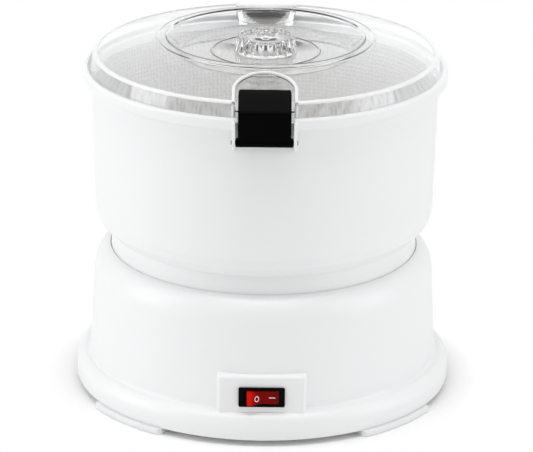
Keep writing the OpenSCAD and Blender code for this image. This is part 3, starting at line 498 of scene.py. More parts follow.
def coarse_grit(name):
    """Bonded grains: each cell of a pattern has its own colour and roughness,
    and the distance from its middle gives the height."""
    mat, tree, shader, place = start_material(name)
    cells = add(tree, "TexVoronoi", scale=900.0)
    link(tree, place, cells.inputs["Vector"])
    ramp = add(tree, "ValToRGB")
    stops = ramp.color_ramp.elements
    stops[0].color, stops[1].color = (0.16, 0.135, 0.11, 1), (0.62, 0.57, 0.50, 1)
    stops.new(0.5).color = (0.36, 0.31, 0.26, 1)
    split = add(tree, "SeparateColor")
    link(tree, cells.outputs["Color"], split.inputs["Color"])
    link(tree, split.outputs["Red"], ramp.inputs["Fac"])
    link(tree, ramp.outputs["Color"], shader.inputs["Base Color"])
    link(tree, spread(tree, split.outputs["Green"], 0.35, 0.85, 0, 1), shader.inputs["Roughness"])
    bump(tree, shader, cells.outputs["Distance"], 0.0004)
    return mat


def red_painted_light_and_shade(name):
    """Clear red rocker plastic: deep red, with painted shadow of the bezel that darkens it
    towards its right end, and painted light that makes it bright near the left end that
    stands out, where light gets in from the side. The limits along X are in metres."""
    # The second colour is painted shadow of the bezel and the third is painted light.
    deep, bezel_shade_red, bright = (0.19, 0.0012, 0.001), (0.12, 0.003, 0.003), (0.66, 0.007, 0.003)
    mat, tree, shader, place = start_material(name)
    split = add(tree, "SeparateXYZ")
    link(tree, place, split.inputs["Vector"])
    # Painted light: 1 at the rocker's left end, fading out by X = -3.5 mm.
    side = spread(tree, split.outputs["X"], 1, 0, -0.0092, -0.0035)
    wander = noise(tree, place, 260.0, 2.0)
    lit = spread(tree, maths(tree, "MULTIPLY_ADD", wander, 0.5, side), 0, 1, 0.25, 1.1)
    # Painted shadow of the bezel: darkens the red over the rocker's right end.
    edge = spread(tree, split.outputs["X"], 0, 1, 0.0052, 0.0112)
    colour = blend(tree, lit, blend(tree, edge, deep, bezel_shade_red), bright)
    link(tree, colour, shader.inputs["Base Color"])
    link(tree, spread(tree, wander, 0.08, 0.2), shader.inputs["Roughness"])
    bump(tree, shader, noise(tree, place, 900.0), 0.00002)
    set_sockets(shader, specular_ior_level=0.03, transmission_weight=0.04, ior=1.5)
    return mat


WHITE = moulded("white_shell", (0.85, 0.854, 0.858), (0.842, 0.847, 0.852), 0.36, 0.02, 500, 6e-6)
SATIN = moulded("satin_feet", (0.80, 0.805, 0.81), (0.77, 0.775, 0.78), 0.42, 0.05, 500, 2e-5)
BLACK = moulded(
    "black_latch", (0.0012, 0.0012, 0.0013), (0.0022, 0.0022, 0.0024),
    0.34, 0.05, 800, 2e-5, specular_ior_level=0.018)
SWITCH_BLACK = moulded(
    "black_switch", (0.0018, 0.0018, 0.002), (0.0032, 0.0032, 0.0034),
    0.4, 0.05, 1200, 3e-5, specular_ior_level=0.025)
RUBBER = moulded("black_rubber", (0.012, 0.012, 0.013), (0.03, 0.03, 0.03), 0.66, 0.08, 900, 8e-5)
BELT = moulded("belt_rubber", (0.02, 0.02, 0.02), (0.045, 0.044, 0.042), 0.72, 0.08, 1300, 1e-4)
NYLON = moulded("grey_nylon", (0.10, 0.105, 0.115), (0.075, 0.08, 0.088), 0.5, 0.07, 600, 4e-5)
DISC = moulded("disc_plastic", (0.70, 0.705, 0.71), (0.62, 0.625, 0.63), 0.42, 0.08, 500, 4e-5)
MARK = moulded("white_mark", (0.86, 0.84, 0.83), (0.72, 0.66, 0.66), 0.4, 0.05, 900, 2e-5)
CAST = moulded(
    "cast_alloy", (0.42, 0.425, 0.43), (0.30, 0.305, 0.31),
    0.5, 0.1, 420, 1.2e-4, metallic=1.0)
# Near-white plastic for the pocket beads and the lid's edge strip: a painted highlight along the
# clear lid's bright edges.
PAINTED_HIGHLIGHT = moulded(
    "painted_highlight_edge", (0.95, 0.952, 0.955), (0.92, 0.922, 0.925),
    0.22, 0.05, 300, 1e-5, transmission_weight=0.12)
GROUND = brushed("ground_steel", (0.60, 0.61, 0.62), 0.22, (1, 1, 40))
ZINC = brushed("zinc_steel", (0.58, 0.60, 0.63), 0.34, (3, 3, 3), 30.0)
DARK_PIN = brushed("dark_steel", (0.06, 0.06, 0.065), 0.35, (40, 1, 1))
BRASS = brushed("brass_blades", (0.62, 0.46, 0.18), 0.3, (1, 20, 1))
STACK = banded("laminations", (0.36, 0.36, 0.38), (0.10, 0.10, 0.11), 1.0, 0.42, 1.0)
WIRE = banded("copper_wire", (0.55, 0.20, 0.07), (0.20, 0.05, 0.02), 1.2, 0.3, 0.6)
CLEAR = clear_plastic("clear_lid", (0.99, 0.992, 0.994), 0.03, (0.97, 0.975, 0.98))
LINER = dotted_liner("liner_grit")
GRIT = coarse_grit("disc_grit")
RED = red_painted_light_and_shade("red_rocker")


# ---- base

# Skirt, its rolled edge, the cove above it, the leaning wall and the shoulder:
# R is a radius, Z a height, OUT and UP the half axes of an elliptic bend.
SKIRT_R, SKIN, DECK_Z, COLLAR_R, NECK_R = 135.2, 3.0, 101.476, 110.4, 24.4
EDGE_R, EDGE_Z, EDGE_OUT, EDGE_UP = 127.2, 13.5, 8.0, 9.3
COVE_R, COVE_Z, COVE = 128.05, 25.6, 2.9
WALL_R, WALL_TOP_R, WALL_Z, WALL_RISE = 125.3, 122.1, 22.8, 61.6
SHOULDER_R, SHOULDER_Z, SHOULDER_OUT, SHOULDER_UP = 106.3, 84.4, 15.8, 19.9

# Switch panel: its front face, middle, half sizes, edge, draft and fillet.
PANEL_Y, PANEL_MID, PANEL_W, PANEL_H = 127.6, 32.8, 30.5, 16.7
PANEL_EDGE, PANEL_DRAFT, PANEL_FILLET = 1.9, 0.05, 1.0
PANEL_TURN, PANEL_LOW, PANEL_HIGH = 0.29, 14, 56  # radians and heights around it
WINDOW_W, WINDOW_H, SWITCH_Z = 29.4, 12.8, 34.5

# Cord gland and the pad around it, and the rings that the screw posts stand on.
GLAND_Z, GLAND_SEAT_R, PAD_R, PAD_Y, PAD_DEPTH = 38.0, 6.85, 12, 118.3, 8.2
POST_R, COVER_POST_RING, MOTOR_Y = 5, 117.7, 72

# Feet: outer and inner radius, rounded corners and edges, half sweep in degrees.
FOOT_H, FOOT_R, FOOT_IN_R, FOOT_BEND_R = 4.5, 138.2, 112.0, 121
FOOT_CORNER, FOOT_LOW_EDGE, FOOT_TOP_EDGE, FOOT_CHAMFER = 4.0, 1.2, 1.5, 0.6
FOOT_SWEEP, PEG_R, PEG_RING, PEG_SWEEP = 14.5, 2.5, 122.1, 7.125


def panel_reach(phi, z):
    """Distance from the axis at which a level ray at phi from the front leaves
    the switch panel: halving steps find where the distance to a block with
    rounded edges and a slight draft changes sign."""
    low, high = np.full(phi.shape, 112.0), np.full(phi.shape, 136.0)

    def outside(r):
        """Distance from the block at radius r, which is negative inside it."""
        depth = PANEL_Y - r * np.cos(phi)
        draft = PANEL_DRAFT * np.maximum(depth, 0)
        q = np.stack([np.abs(r * np.sin(phi)) - PANEL_W - draft + PANEL_EDGE,
                      np.abs(z - PANEL_MID) - PANEL_H - draft + PANEL_EDGE, PANEL_EDGE - depth])
        return np.linalg.norm(np.maximum(q, 0), axis=0) + np.minimum(q.max(0), 0) - PANEL_EDGE

    misses = outside(low) > 0
    for _ in range(24):
        mid = (low + high) / 2
        out = outside(mid) > 0
        high, low = np.where(out, mid, high), np.where(out, low, mid)
    return np.where(misses, 0, high)


def soft_max(a, b, k):
    """The larger of two lengths, with a fillet of about k where they meet."""
    h = np.maximum(k - np.abs(a - b), 0) / k
    return np.maximum(a, b) + h * h * k / 4


def base_shell():
    """Shell turned from the outline of skirt, wall, shoulder and deck. In front
    its radius is the softened larger one of wall and switch panel. Rows and
    columns of points lie close together where the panel's edges run."""
    rows = [np.linspace(26, 45.4, 24), np.arange(45.6, 52.2, 0.15), np.linspace(53, 84, 12)]
    z = np.concatenate(rows)
    wall = np.stack([WALL_R + (z - WALL_Z) * (WALL_TOP_R - WALL_R) / WALL_RISE, z], 1)
    outside = np.vstack([
        [[SKIRT_R - 0.7, FOOT_H], [SKIRT_R - 0.2, FOOT_H + 0.2], [SKIRT_R, FOOT_H + 0.7]],
        arc(EDGE_R, EDGE_Z, EDGE_OUT, EDGE_UP, 0, 80, 26),
        arc(COVE_R, COVE_Z, COVE, COVE, 275, 182), wall])
    outline = np.vstack([
        outside, arc(SHOULDER_R, SHOULDER_Z, SHOULDER_OUT, SHOULDER_UP, 0, 73.2, 22),
        [[110.62, 103.52], [110.45, 103.3], [COLLAR_R, 101.48],
         [NECK_R, DECK_Z], [NECK_R, DECK_Z - SKIN]],
        arc(SHOULDER_R, SHOULDER_Z, SHOULDER_OUT - SKIN, SHOULDER_UP - SKIN, 56.4, 0, 10),
        [[WALL_R - SKIN, WALL_Z - SKIN]],
        arc(EDGE_R, EDGE_Z, EDGE_OUT - SKIN, EDGE_UP - SKIN, 90, 0, 6),
        [[SKIRT_R - SKIN, FOOT_H]]])
    outer = np.arange(len(outline)) < len(outside)
    fine = np.arange(11.8, 15.0, 0.06)
    phi = np.unique(np.round(np.concatenate([np.arange(-180, 180, 1.25), fine, -fine]), 4))

    def with_panel(r, z, a):
        """The wall's radius, or the panel's where that is larger."""
        front = a + np.pi / 2
        near = outer & (np.abs(front) < PANEL_TURN) & (z > PANEL_LOW) & (z < PANEL_HIGH)
        reach = np.zeros(r.shape)
        reach[near] = panel_reach(front[near], z[near])
        return np.where(near, soft_max(r, reach, PANEL_FILLET), r), z

    shell = turned("base_shell", outline, angles=phi - 90, shape=with_panel)
    weld(shell, along_y(rod("cord_pad", PAD_R, 0, PAD_DEPTH, 64, edge=0.6), PAD_Y, GLAND_Z))
    opening = soft_rect(WINDOW_W, WINDOW_H, 0.4) + [0, SWITCH_Z]
    cut(shell, prism("window", opening, -134, -110, "y"),
        along_y(rod("bore", GLAND_SEAT_R, 0, 24, 64), 108, GLAND_Z))
    cover_posts = [rod("post", POST_R, 7.2, 57, 32, *spot)
                   for spot in on_circle(COVER_POST_RING, 15, 165, 195, 345)]
    motor_posts = [rod("post", POST_R, 36, 99, 32, x, MOTOR_Y + y)
                   for x in (-40, 40) for y in (-32, 32)]
    return lump(shell, *cover_posts, *motor_posts)


def foot(name, middle):
    """Arc-shaped pad under the skirt with two pegs. Its outer edge is rounded
    off, and its ends draw in there by c - sqrt(c2 - d2), d being the distance
    past the start of the corner of radius c."""
    e, f, c = FOOT_LOW_EDGE, FOOT_TOP_EDGE, FOOT_CHAMFER
    corner_r = FOOT_R - FOOT_CORNER
    low, high = (np.linspace((corner_r, z), (FOOT_R - e, z), 8) for z in (0, FOOT_H))
    outline = np.vstack([
        [[FOOT_IN_R + c, 0], [FOOT_BEND_R, 0]], low, arc(FOOT_R - e, e, e, e, -80, 0, 5),
        arc(FOOT_R - f, FOOT_H - f, f, f, 0, 80, 6), high[::-1],
        [[FOOT_BEND_R, FOOT_H], [FOOT_IN_R + c, FOOT_H],
         [FOOT_IN_R, FOOT_H - c], [FOOT_IN_R, c]]])
    d = np.clip(outline[:, 0] - corner_r, 0, FOOT_CORNER)
    drawn_in = FOOT_CORNER - np.sqrt(FOOT_CORNER ** 2 - d ** 2)
    half = FOOT_SWEEP - np.degrees(drawn_in / outline[:, 0])
    pad = sector(name, outline, middle - half, middle + half, 24, len(outline) - 2)
    pegs = [rod("peg", PEG_R, 4, 9, 24, *spot)
            for spot in on_circle(PEG_RING, middle - PEG_SWEEP, middle + PEG_SWEEP)]
    return lump(pad, *pegs)


# ---- drum

# Rolled rim and end of the wall below it; the lid's seat and the chamber, which
# narrows downwards; the floor, the ribs' overlap with it and its middle hole.
RIM_R, RIM_TOP, RIM_EDGE, WALL_END_Z = 129.4, 236.4, 2.2, 224.476
SEAT_R, SEAT_Z, BORE_R, BORE_LOW_R = 125.3, 232.676, 120.1, 118.0
DRUM_FLOOR, FLOOR_T, FLOOR_BITE, HUB_R = 120.976, 3.0, 0.424, 17.3

# Latch pins with their play, the ears that carry them, and the notch between.
PIN_Y, PIN_Z, PIN_R, PIN_PLAY = 128.7, 220.476, 1.5, 0.02
EAR_X, EAR_T, NOTCH_Z = 19.8, 2.3, 215.476


def drum_shell():
    """Outline of collar, lip, wall, cove, rim and ledge turned about the axis,
    with the ears welded on, the latch notches cut, and ribs under its floor."""
    collar = np.vstack([
        [[110.2, DECK_Z], [108.6, 116.7]], arc(109.0, 116.6, 0.4, 0.4, 180, 90, 3),
        [[110.4, 116.976], [110.8, 117.15]], arc(110.3, 117.9, 0.8, 0.8, -50, -35, 2)])
    corner = rounded([(110.0, 116.0), (118.5, 125.35, 9), (120.9, 131.476, 10), (121.0, 140)], 10)
    wall = np.linspace((121.1, 140), (123.1, WALL_END_Z - 0.3), 12)
    cove = arc(128.0, WALL_END_Z, 4.85, 3.7, 178, 92, 10)
    rim = np.vstack([[[128.6, 228.3]], arc(RIM_R - 0.7, 229.1, 0.7, 0.7, -70, 0, 5),
                     arc(RIM_R - RIM_EDGE, RIM_TOP - RIM_EDGE, RIM_EDGE, RIM_EDGE, 0, 90, 10)])
    ledge = rounded([(127, RIM_TOP), (126.1, RIM_TOP, 0.6), (SEAT_R, RIM_TOP - 0.9, 0.6),
                     (SEAT_R, SEAT_Z, 0.5), (BORE_R, SEAT_Z, 0.6), (BORE_R, 224)], 4)
    bore = np.linspace((BORE_R, WALL_END_Z), (BORE_LOW_R, 136), 10)
    floor_low = DRUM_FLOOR - FLOOR_T
    floor = np.vstack([arc(108.9, 131.976, 9, 11, -5, -88, 10), [
        [HUB_R, DRUM_FLOOR], [HUB_R, floor_low], [105.6, floor_low], [107.2, DECK_Z]]])
    outline = np.vstack([collar, corner[1:-1], wall, cove, rim, ledge[1:-1], bore, floor])
    drum = turned("drum_shell", outline, 256)
    ear = rounded([
        (-PIN_Y - 3.4, PIN_Z, 3.4), (-131.2, 235.4, 1.2), (-128.4, 236.1, 1.5), (-123.1, 235.2),
        (-121.4, 212.0), (-126.5, 215.4, 3), (-PIN_Y - 1.0, 216.9, 2.4)])
    for place in (as_made, half_turn):
        for low in (-EAR_X - EAR_T, EAR_X):
            weld(drum, place(ease(prism("ear", ear, low, low + EAR_T), 0.5)))
        notch = prism("notch", box(-137.0, -123.6, NOTCH_Z, 260), -EAR_X, EAR_X)
        pin_hole = cross_rod("pin_hole", PIN_R + PIN_PLAY, 30)
        cut(drum, place(notch), place(moved(pin_hole, shift(0, -PIN_Y, PIN_Z))))
    top, thick = floor_low + FLOOR_BITE, 2.4
    ribs = copies(lambda: prism("rib", box(-thick / 2, thick / 2, 106.5, top), 26, 106.6),
                  *range(0, 360, 45))
    rings = [turned("ring", box(r, r + thick, low, top), 96)
             for r, low in ((25, DECK_Z), (65.6, 108.5))]
    posts = [rod("post", POST_R, DECK_Z, top, 32, *spot)
             for r in (34, 95) for spot in on_circle(r, 45, 135, 225, 315)]
    return lump(drum, *ribs, *rings, *posts)


def liner_sleeve():
    """Thin sleeve along the drum wall, with its own map: distance round the
    wall and height, both in millimetres."""
    low, high, thick = 137.476, 227.476, 1.2
    z = np.linspace(low + 0.124, high - 0.176, 24)
    r = 117.8 + 2.2 * np.clip((z - 131.5) / 93, 0, 1)
    outline = np.vstack([np.stack([r, z], 1), [[r[-1] - 0.5, high]],
                         np.stack([r - thick, z], 1)[::-1], [[r[0] - 0.6, low]]])
    sleeve = turned("liner_sleeve", outline, 240)
    data = sleeve.data
    layer = data.uv_layers.new(name="sleeve")
    loops = np.empty(len(data.loops), int)
    data.loops.foreach_get("vertex_index", loops)
    co = np.empty(len(data.vertices) * 3)
    data.vertices.foreach_get("co", co)
    p = co.reshape(-1, 3)[loops] / MM
    angle = np.arctan2(p[:, 1], p[:, 0])
    first = np.repeat(angle[::4], 4)
    angle = angle + 2 * np.pi * np.round((first - angle) / (2 * np.pi))
    layer.data.foreach_set("uv", np.stack([angle * BORE_LOW_R, p[:, 2]], 1).ravel())
    return sleeve


# ---- lid

# Lower edge, upper edge, crest and dish, then the latch pockets, and last the
# wall, the bead round each pocket and the strip along the upper edge.
LID_R, LID_Z, LID_EDGE_R, LID_EDGE_Z = 124.9, 232.976, 121.8, 245.776
CREST_R, CREST_Z, CREST_TOP, DISH_Z, CAP_HOLE_R = 77.6, 256.276, 257.476, 246.476, 15.55
POCKET_R, POCKET_Y, POCKET_Z, POCKET_HALF_WALL = 20.4, 103.5, 240.476, 0.35
LID_WALL, BEAD, STRIP_W, STRIP_H = 1.6, 1.25, 2.7, 1.2
SLOPE = (CREST_Z - LID_EDGE_Z) / (LID_EDGE_R - CREST_R)
SKY = 275  # above the lid, where open cuts end


def cone_height(r):
    """Height of the lid's outer face: it climbs by SLOPE from edge to crest."""
    return LID_EDGE_Z + (LID_EDGE_R - r) * SLOPE


def pocket_path(reach, out, n=36):
    """Line round a pocket: straight in from out, a half circle of radius
    reach about the pocket's end, and straight out again."""
    side = np.linspace((-reach, out), (-reach, -POCKET_Y), 10, endpoint=False)
    return np.vstack([side, arc(0, -POCKET_Y, reach, reach, 180, 0, n), side[::-1] * [-1, 1]])


def pocket_wall():
    """Wall of a latch pocket: an upright section with a rounded bead on top is
    carried round the pocket, and its top follows the cone."""
    path = pocket_path(POCKET_R + POCKET_HALF_WALL, -119.2)
    step = unit(np.gradient(path, axis=0))
    side = np.stack([step[:, 1], -step[:, 0]], 1)
    top = cone_height(np.hypot(*path.T))
    round_top = arc(0, 0.5, POCKET_HALF_WALL, 0.8, 180, 0)
    w = POCKET_HALF_WALL
    across, up = np.vstack([[[-w, 0], [-w, 0.5]], round_top, [[w, 0.5], [w, 0]]]).T
    lift = np.where(up == 0, POCKET_Z - 2.0, top[:, None] - 0.9 + up)
    level = path[:, None] - side[:, None] * across[None, :, None]
    return tube("pocket_wall", np.concatenate([level, lift[..., None]], -1))


def pocket_bead(name):
    """Round bead on the pocket's edge: a circle is carried round the pocket at
    the height of the cone and down the lid's side at both ends."""
    plan = pocket_path(POCKET_R + 0.9, -119.6, 48)
    top = np.column_stack([plan, cone_height(np.hypot(*plan.T)) + 0.1])
    right = top[-1] + np.linspace(0.25, 1, 8)[:, None] * [0.0, -2.0, -9.6]
    path = np.vstack([(right * [-1, 1, 1])[::-1], top, right])
    step = unit(np.gradient(path, axis=0))
    side = unit(np.cross(step, [0, 0.25, 1.0]))
    up = np.cross(side, step)
    t = np.radians(np.arange(0, 360, 30))[None, :, None]
    return tube(name, path[:, None] + BEAD * (np.cos(t) * side[:, None] + np.sin(t) * up[:, None]))


def lid_edge():
    """Near-white band along the lid's upper edge, a painted highlight: a thin strip turned
    about the axis, broken where the latch pockets open."""
    gap = math.degrees(math.asin((POCKET_R + 1.8) / LID_EDGE_R))
    r, z, inner = LID_EDGE_R, LID_EDGE_Z, LID_EDGE_R - STRIP_W
    strip = rounded([
        (r + 0.35, z - STRIP_H, 0.2), (r + 0.15, z + 0.35, 1.2),
        (inner, cone_height(inner) + 0.2, 0.15), (inner, cone_height(inner) - 0.25),
        (r - 0.5, z - 0.3, 0.8), (r - 0.15, z - STRIP_H)], 4)
    right, left = (sector("lid_edge", strip, start, start + 180 - 2 * gap, 120)
                   for start in (gap - 90, gap + 90))
    return lump(right, left)


def lid_shell():
    """Thin clear wall turned about the axis, with two latch pockets whose walls
    and floors are welded on, and slots for the lugs of the cap."""
    dish_low = DISH_Z - LID_WALL
    outside = [
        (LID_R, LID_Z, 0.6), (LID_EDGE_R, LID_EDGE_Z, 1.3), (CREST_R, CREST_Z, 0.5),
        (CREST_R - 1.2, CREST_Z + 0.8, 0.7), (70.0, CREST_TOP, 1.4), (68.6, 255.4, 1.2),
        (61.6, 247.4, 1.4), (59.4, DISH_Z, 1.6), (39.1, DISH_Z, 0.4), (38.4, DISH_Z + 0.4, 0.3),
        (37.6, DISH_Z + 0.4, 0.3), (36.9, DISH_Z, 0.4), (CAP_HOLE_R, DISH_Z, 0.4)]
    inside = [
        (CAP_HOLE_R, dish_low, 0.4), (60.2, dish_low, 1.6), (62.9, 246.3, 1.5), (69.9, 254.4, 0.6),
        (70.9, 255.8, 0.8), (75.8, 255.4, 0.8), (CREST_R, CREST_Z - LID_WALL, 0.6),
        (LID_EDGE_R - LID_WALL, LID_EDGE_Z - LID_WALL + 0.3, 1.0), (LID_R - LID_WALL, LID_Z, 0.5)]
    lid = turned("lid_shell", rounded(outside + inside), 256)
    front_edge = [[20.8, -120.2], [0, -121.9], [-20.8, -120.2]]
    floor = np.vstack([pocket_path(POCKET_R + 0.5, -118.0), front_edge])
    for place in (as_made, half_turn):
        room = prism("room", pocket_path(POCKET_R + 0.3, -118.0), POCKET_Z - 1, SKY, "z")
        cut(lid, place(room))
        weld(lid, place(pocket_wall()),
             place(prism("floor", floor, POCKET_Z - 1.3, POCKET_Z + 0.12, "z")))
        cut(lid, place(prism("room", pocket_path(POCKET_R + 0.02, -140), POCKET_Z, SKY, "z")))
    slots = copies(lambda: prism("slot", soft_rect(6.4, 20, 0.3) + [0, -10], 243, 247.2, "z"),
                   45, 225)
    return cut(lid, *slots)


# Skirt of the cap, and the spigot that sits in the lid's hole.
CAP_LOW, CAP_TOP, CAP_R, CAP_TOP_R = 246.776, 257.976, 22.4, 19.8
SPIGOT_R, SPIGOT_Z, FLUTES, FLUTE_DEPTH = 15.5, 240.776, 24, 0.95


def clear_cap():
    """Cap turned about the axis with a shallow cup and a gate mark on top. The
    outside draws in by depth times (1 - |cos|) to the 1.2 at each flute."""
    spigot = [[0, 254.176], [12.4, 254.176]]
    spigot += arc(12.4, 253.576, 0.6, 0.6, 90, 0, 4).tolist()
    spigot += [[13.5, SPIGOT_Z + 0.324], [13.8, SPIGOT_Z], [SPIGOT_R - 0.3, SPIGOT_Z],
               [SPIGOT_R, SPIGOT_Z + 0.324], [SPIGOT_R, CAP_LOW - 0.2],
               [SPIGOT_R + 0.3, CAP_LOW], [21.9, CAP_LOW]]
    side = np.linspace((CAP_R, CAP_LOW + 0.9), (CAP_TOP_R, CAP_TOP - 0.7), 14)
    crown = np.vstack([arc(19.1, CAP_TOP - 0.6, 0.6, 0.6, 10, 90, 5), [[18.3, CAP_TOP]],
                       arc(18.3, CAP_TOP - 0.5, 0.6, 0.5, 90, 180, 4)])
    cup = np.vstack([[[17.5, CAP_TOP - 1.4]], arc(16.9, CAP_TOP - 1.4, 0.5, 0.4, 0, -90, 4)])
    gate_mark = [[3.4, 256.176], [3.1, 256.4], [2.4, 256.45], [1.2, 256.35], [0, 256.3]]
    outline = np.vstack([spigot, arc(22.0, CAP_LOW + 0.5, 0.5, 0.5, -60, 0, 4), side, crown,
                         cup, gate_mark])

    def fluted(r, z, a):
        """The radius less the flutes, which fade in above the cap's foot."""
        share = np.clip((r - 17.6) / 1.2, 0, 1) * np.clip((z - CAP_LOW - 0.2) / 0.8, 0, 1)
        share = share * (z < CAP_TOP - 0.02)
        return r - share * FLUTE_DEPTH * (1 - np.abs(np.cos(FLUTES / 2 * a))) ** 1.2, z

    cap = turned("clear_cap", outline, FLUTES * 14, shape=fluted)
    lug = box(-2.8, 2.8, SPIGOT_Z, SPIGOT_Z + 3.0)
    return weld(cap, *copies(lambda: prism("lug", lug, 14.6, 18.0), 0, 180))


# ---- latches

# Length of the hook's top, height of the fold, how far the cover's face stands
# in front of the pin, and half the width.
LATCH_REACH, LATCH_FOLD, LATCH_OUT, LATCH_HALF = 28.2, 22.0, 2.3, 18.0


def latch_piece(name):
    """Bent cover with side walls: its side outline carried across its width and
    hollowed from below, with a barrel round the pin and a web in the middle.
    It is made about its pin and moved to its place."""
    front, tip, half = -LATCH_OUT, LATCH_REACH - LATCH_OUT, LATCH_HALF
    rise = LATCH_FOLD + LATCH_REACH * SLOPE
    peak = rise + 1.1
    face = np.vstack([
        [[front, 1.2]], arc(front + 3, LATCH_FOLD - 2.6, 3, 3, 180, 104, 9),
        rounded([(5, LATCH_FOLD + 7.3 * SLOPE), (tip, peak, 1.0), (tip, 20.5, 0.5),
                 (3, 20.5, 0.8), (2.8, 6), (0.6, 0.4)], 5)[1:]])
    body = prism(name, face, -half, half)
    crown = prism("crown", soft_rect(2 * half, 60.0, 3.0) + [0, tip - 30.0], -5, 45, "z")
    combine(body, crown, "INTERSECT")
    brow = rounded([(half, -10), (half, peak, 2.2), (-half, peak, 2.2), (-half, -10)])
    combine(body, prism("brow", brow, -10, 40, "y"), "INTERSECT")
    ease(body, 0.6, 3, 40)
    hollow = [[front + 3, -1], [front + 3, LATCH_FOLD - 3], [tip - 3, rise - 4.2],
              [tip - 3, 19.5], [4, 19.5], [4, -1]]
    cut(body, prism("hollow", np.array(hollow), -half + 3, half - 3))
    web = [[front + 1, 3], [front + 1, LATCH_FOLD - 2], [tip - 1, rise - 2], [tip - 1, 22],
           [6, 21.5], [0, 4]]
    weld(body, cross_rod("barrel", 3.2, 19.5, 64, 0.9), prism("web", np.array(web), -1, 1))
    cut(body, cross_rod("hole", PIN_R + 0.05, 25))
    return moved(body, shift(0, -PIN_Y, PIN_Z))


# ---- switch

# Rocker: half width, half height, and the tilt at which it rests.
ROCKER_W, ROCKER_H, ROCKER_Y, ROCKER_TILT = 11.2, 4.8, 125.0, 10
FACE_SLOPE = math.degrees(math.atan2(2.5, ROCKER_W))


def bezel():
    """Frame with eased edges on a square body, with a well for the rocker."""
    face = -PANEL_Y
    flange = prism("bezel", soft_rect(32.2, 14.3, 1.2), face - 1.8, face, "y")
    ease(flange, 0.45, 3, 40)
    weld(flange, prism("body", soft_rect(28.8, 12.2, 0.6), face - 0.5, face + 24, "y"))
    cut(flange, prism("well", soft_rect(24.4, 10.2, 0.8), face - 4, face + 12, "y"))
    return ease(moved(flange, shift(0, 0, SWITCH_Z)), 0.18, 2, 50)


def rocker_piece():
    """Rocker whose front is two slightly dished faces that meet in a shallow
    valley; it tips about an upright pin."""
    side = np.array([[11.2, -6.0], [10.9, -6.4], [10.3, -6.35], [8.4, -5.95], [5.6, -5.35],
                     [2.8, -4.55]])
    back = [[11.0, -1], [6.2, 4.5], [-6.2, 4.5], [-11.0, -1]]
    outline = np.vstack([side * [-1, 1], [[0, -3.9]], side[::-1], back])
    body = ease(prism("rocker_body", outline, -ROCKER_H, ROCKER_H, "z"), 0.5, 3, 34)
    return weld(body, rod("pin", 1.2, -6.2, 6.2, 24))


def marks():
    """The O and the bar on the two faces of the rocker, a tenth of a millimetre
    proud. The O is drawn out upwards."""
    ring = turned("ring", rounded([(1.4, -0.1), (2.0, -0.1), (2.0, 0.16, 0.1),
                                   (1.4, 0.16, 0.1)], 3), 48)
    ring.data.transform(Matrix.Diagonal((0.85, 1.1, 1, 1)))
    moved(ring, shift(-4.3, -5.0, -0.5) @ about("Z", FACE_SLOPE) @ about("X", 90))
    bar = prism("bar", soft_rect(4.4, 0.62, 0.25), -0.16, 0.1, "y")
    moved(bar, shift(6.4, -5.5, 0) @ about("Z", -FACE_SLOPE))
    return lump(ring, bar)


def gland():
    """Rubber gland turned about its bore and laid along the wall's hole."""
    bore, neck = 3.6, 6.8
    outline = rounded([
        (bore, 0, 0.4), (6.4, 0, 0.6), (neck, 1.5), (neck, 3.2), (7.9, 4.4, 0.4), (7.9, 6.8, 0.3),
        (neck, 7.2), (neck, 12.5), (9.2, 12.5, 0.5), (8.3, 15.0, 1.0), (bore, 15.0, 0.6)], 5)
    return along_y(turned("gland", outline, 64), 114.0, GLAND_Z)


# ---- disc

# Plate and hub; the ridges' directions, the bar they are cut from, how deep it
# is sunk and where it ends; the grit's top, its rims and its gap to a ridge.
DISC_LOW, DISC_TOP, DISC_R, DISC_EDGE, HUB_FOOT_R = 127.276, 131.276, 111.2, 0.8, 22.5
RIDGES, RIDGE_BAR, RIDGE_SUNK, RIDGE_END = (30, 150, 270), 8, 2, 96
GRIT_Z, GRIT_IN_R, GRIT_R, GRIT_GAP = 132.15, 23.1, 109.0, 8.4


def disc_plate():
    """Disc turned about the axis. Three rounded ridges rise from its top: the
    height over a ridge is sqrt(r2 - d2) less the sunk part of a round bar, d
    being the distance from the bar's middle line."""
    top, r, e = DISC_TOP, DISC_R, DISC_EDGE
    plate = np.vstack([
        [[0, DISC_LOW], [110.8, DISC_LOW]], arc(r, DISC_LOW + e, e, e, -90, 0, 3),
        arc(r, top - e, e, e, 0, 80, 3), np.linspace((r, top), (HUB_FOOT_R, top), 84)])
    hub = np.vstack([
        arc(HUB_FOOT_R, top + 2, 2, 2, 270, 190, 5)[1:],
        rounded([(20.5, top + 2), (18, top + 17.2, 1.5), (15, top + 20, 3), (9, top + 20)])[1:],
        [[6.5, top + 20], [6.2, top + 19.4], [0, top + 19.2]]])

    def ridged(r, z, a):
        """The height plus that of the highest ridge over each point."""
        lift = np.zeros(r.shape)
        for middle in np.radians(RIDGES):
            x, d = r * np.cos(a - middle), r * np.sin(a - middle)
            d = np.hypot(d, np.maximum(x - RIDGE_END, 0))
            bar = np.sqrt(np.maximum(RIDGE_BAR ** 2 - d * d, 0)) - RIDGE_SUNK
            lift = np.maximum(lift, np.where(x > 0, bar, 0))
        flat = (z > top - 0.01) & (z < top + 0.01)
        return r, z + np.where(flat, lift, 0)

    return turned("disc_plate", np.vstack([plate, hub]), 360, shape=ridged)


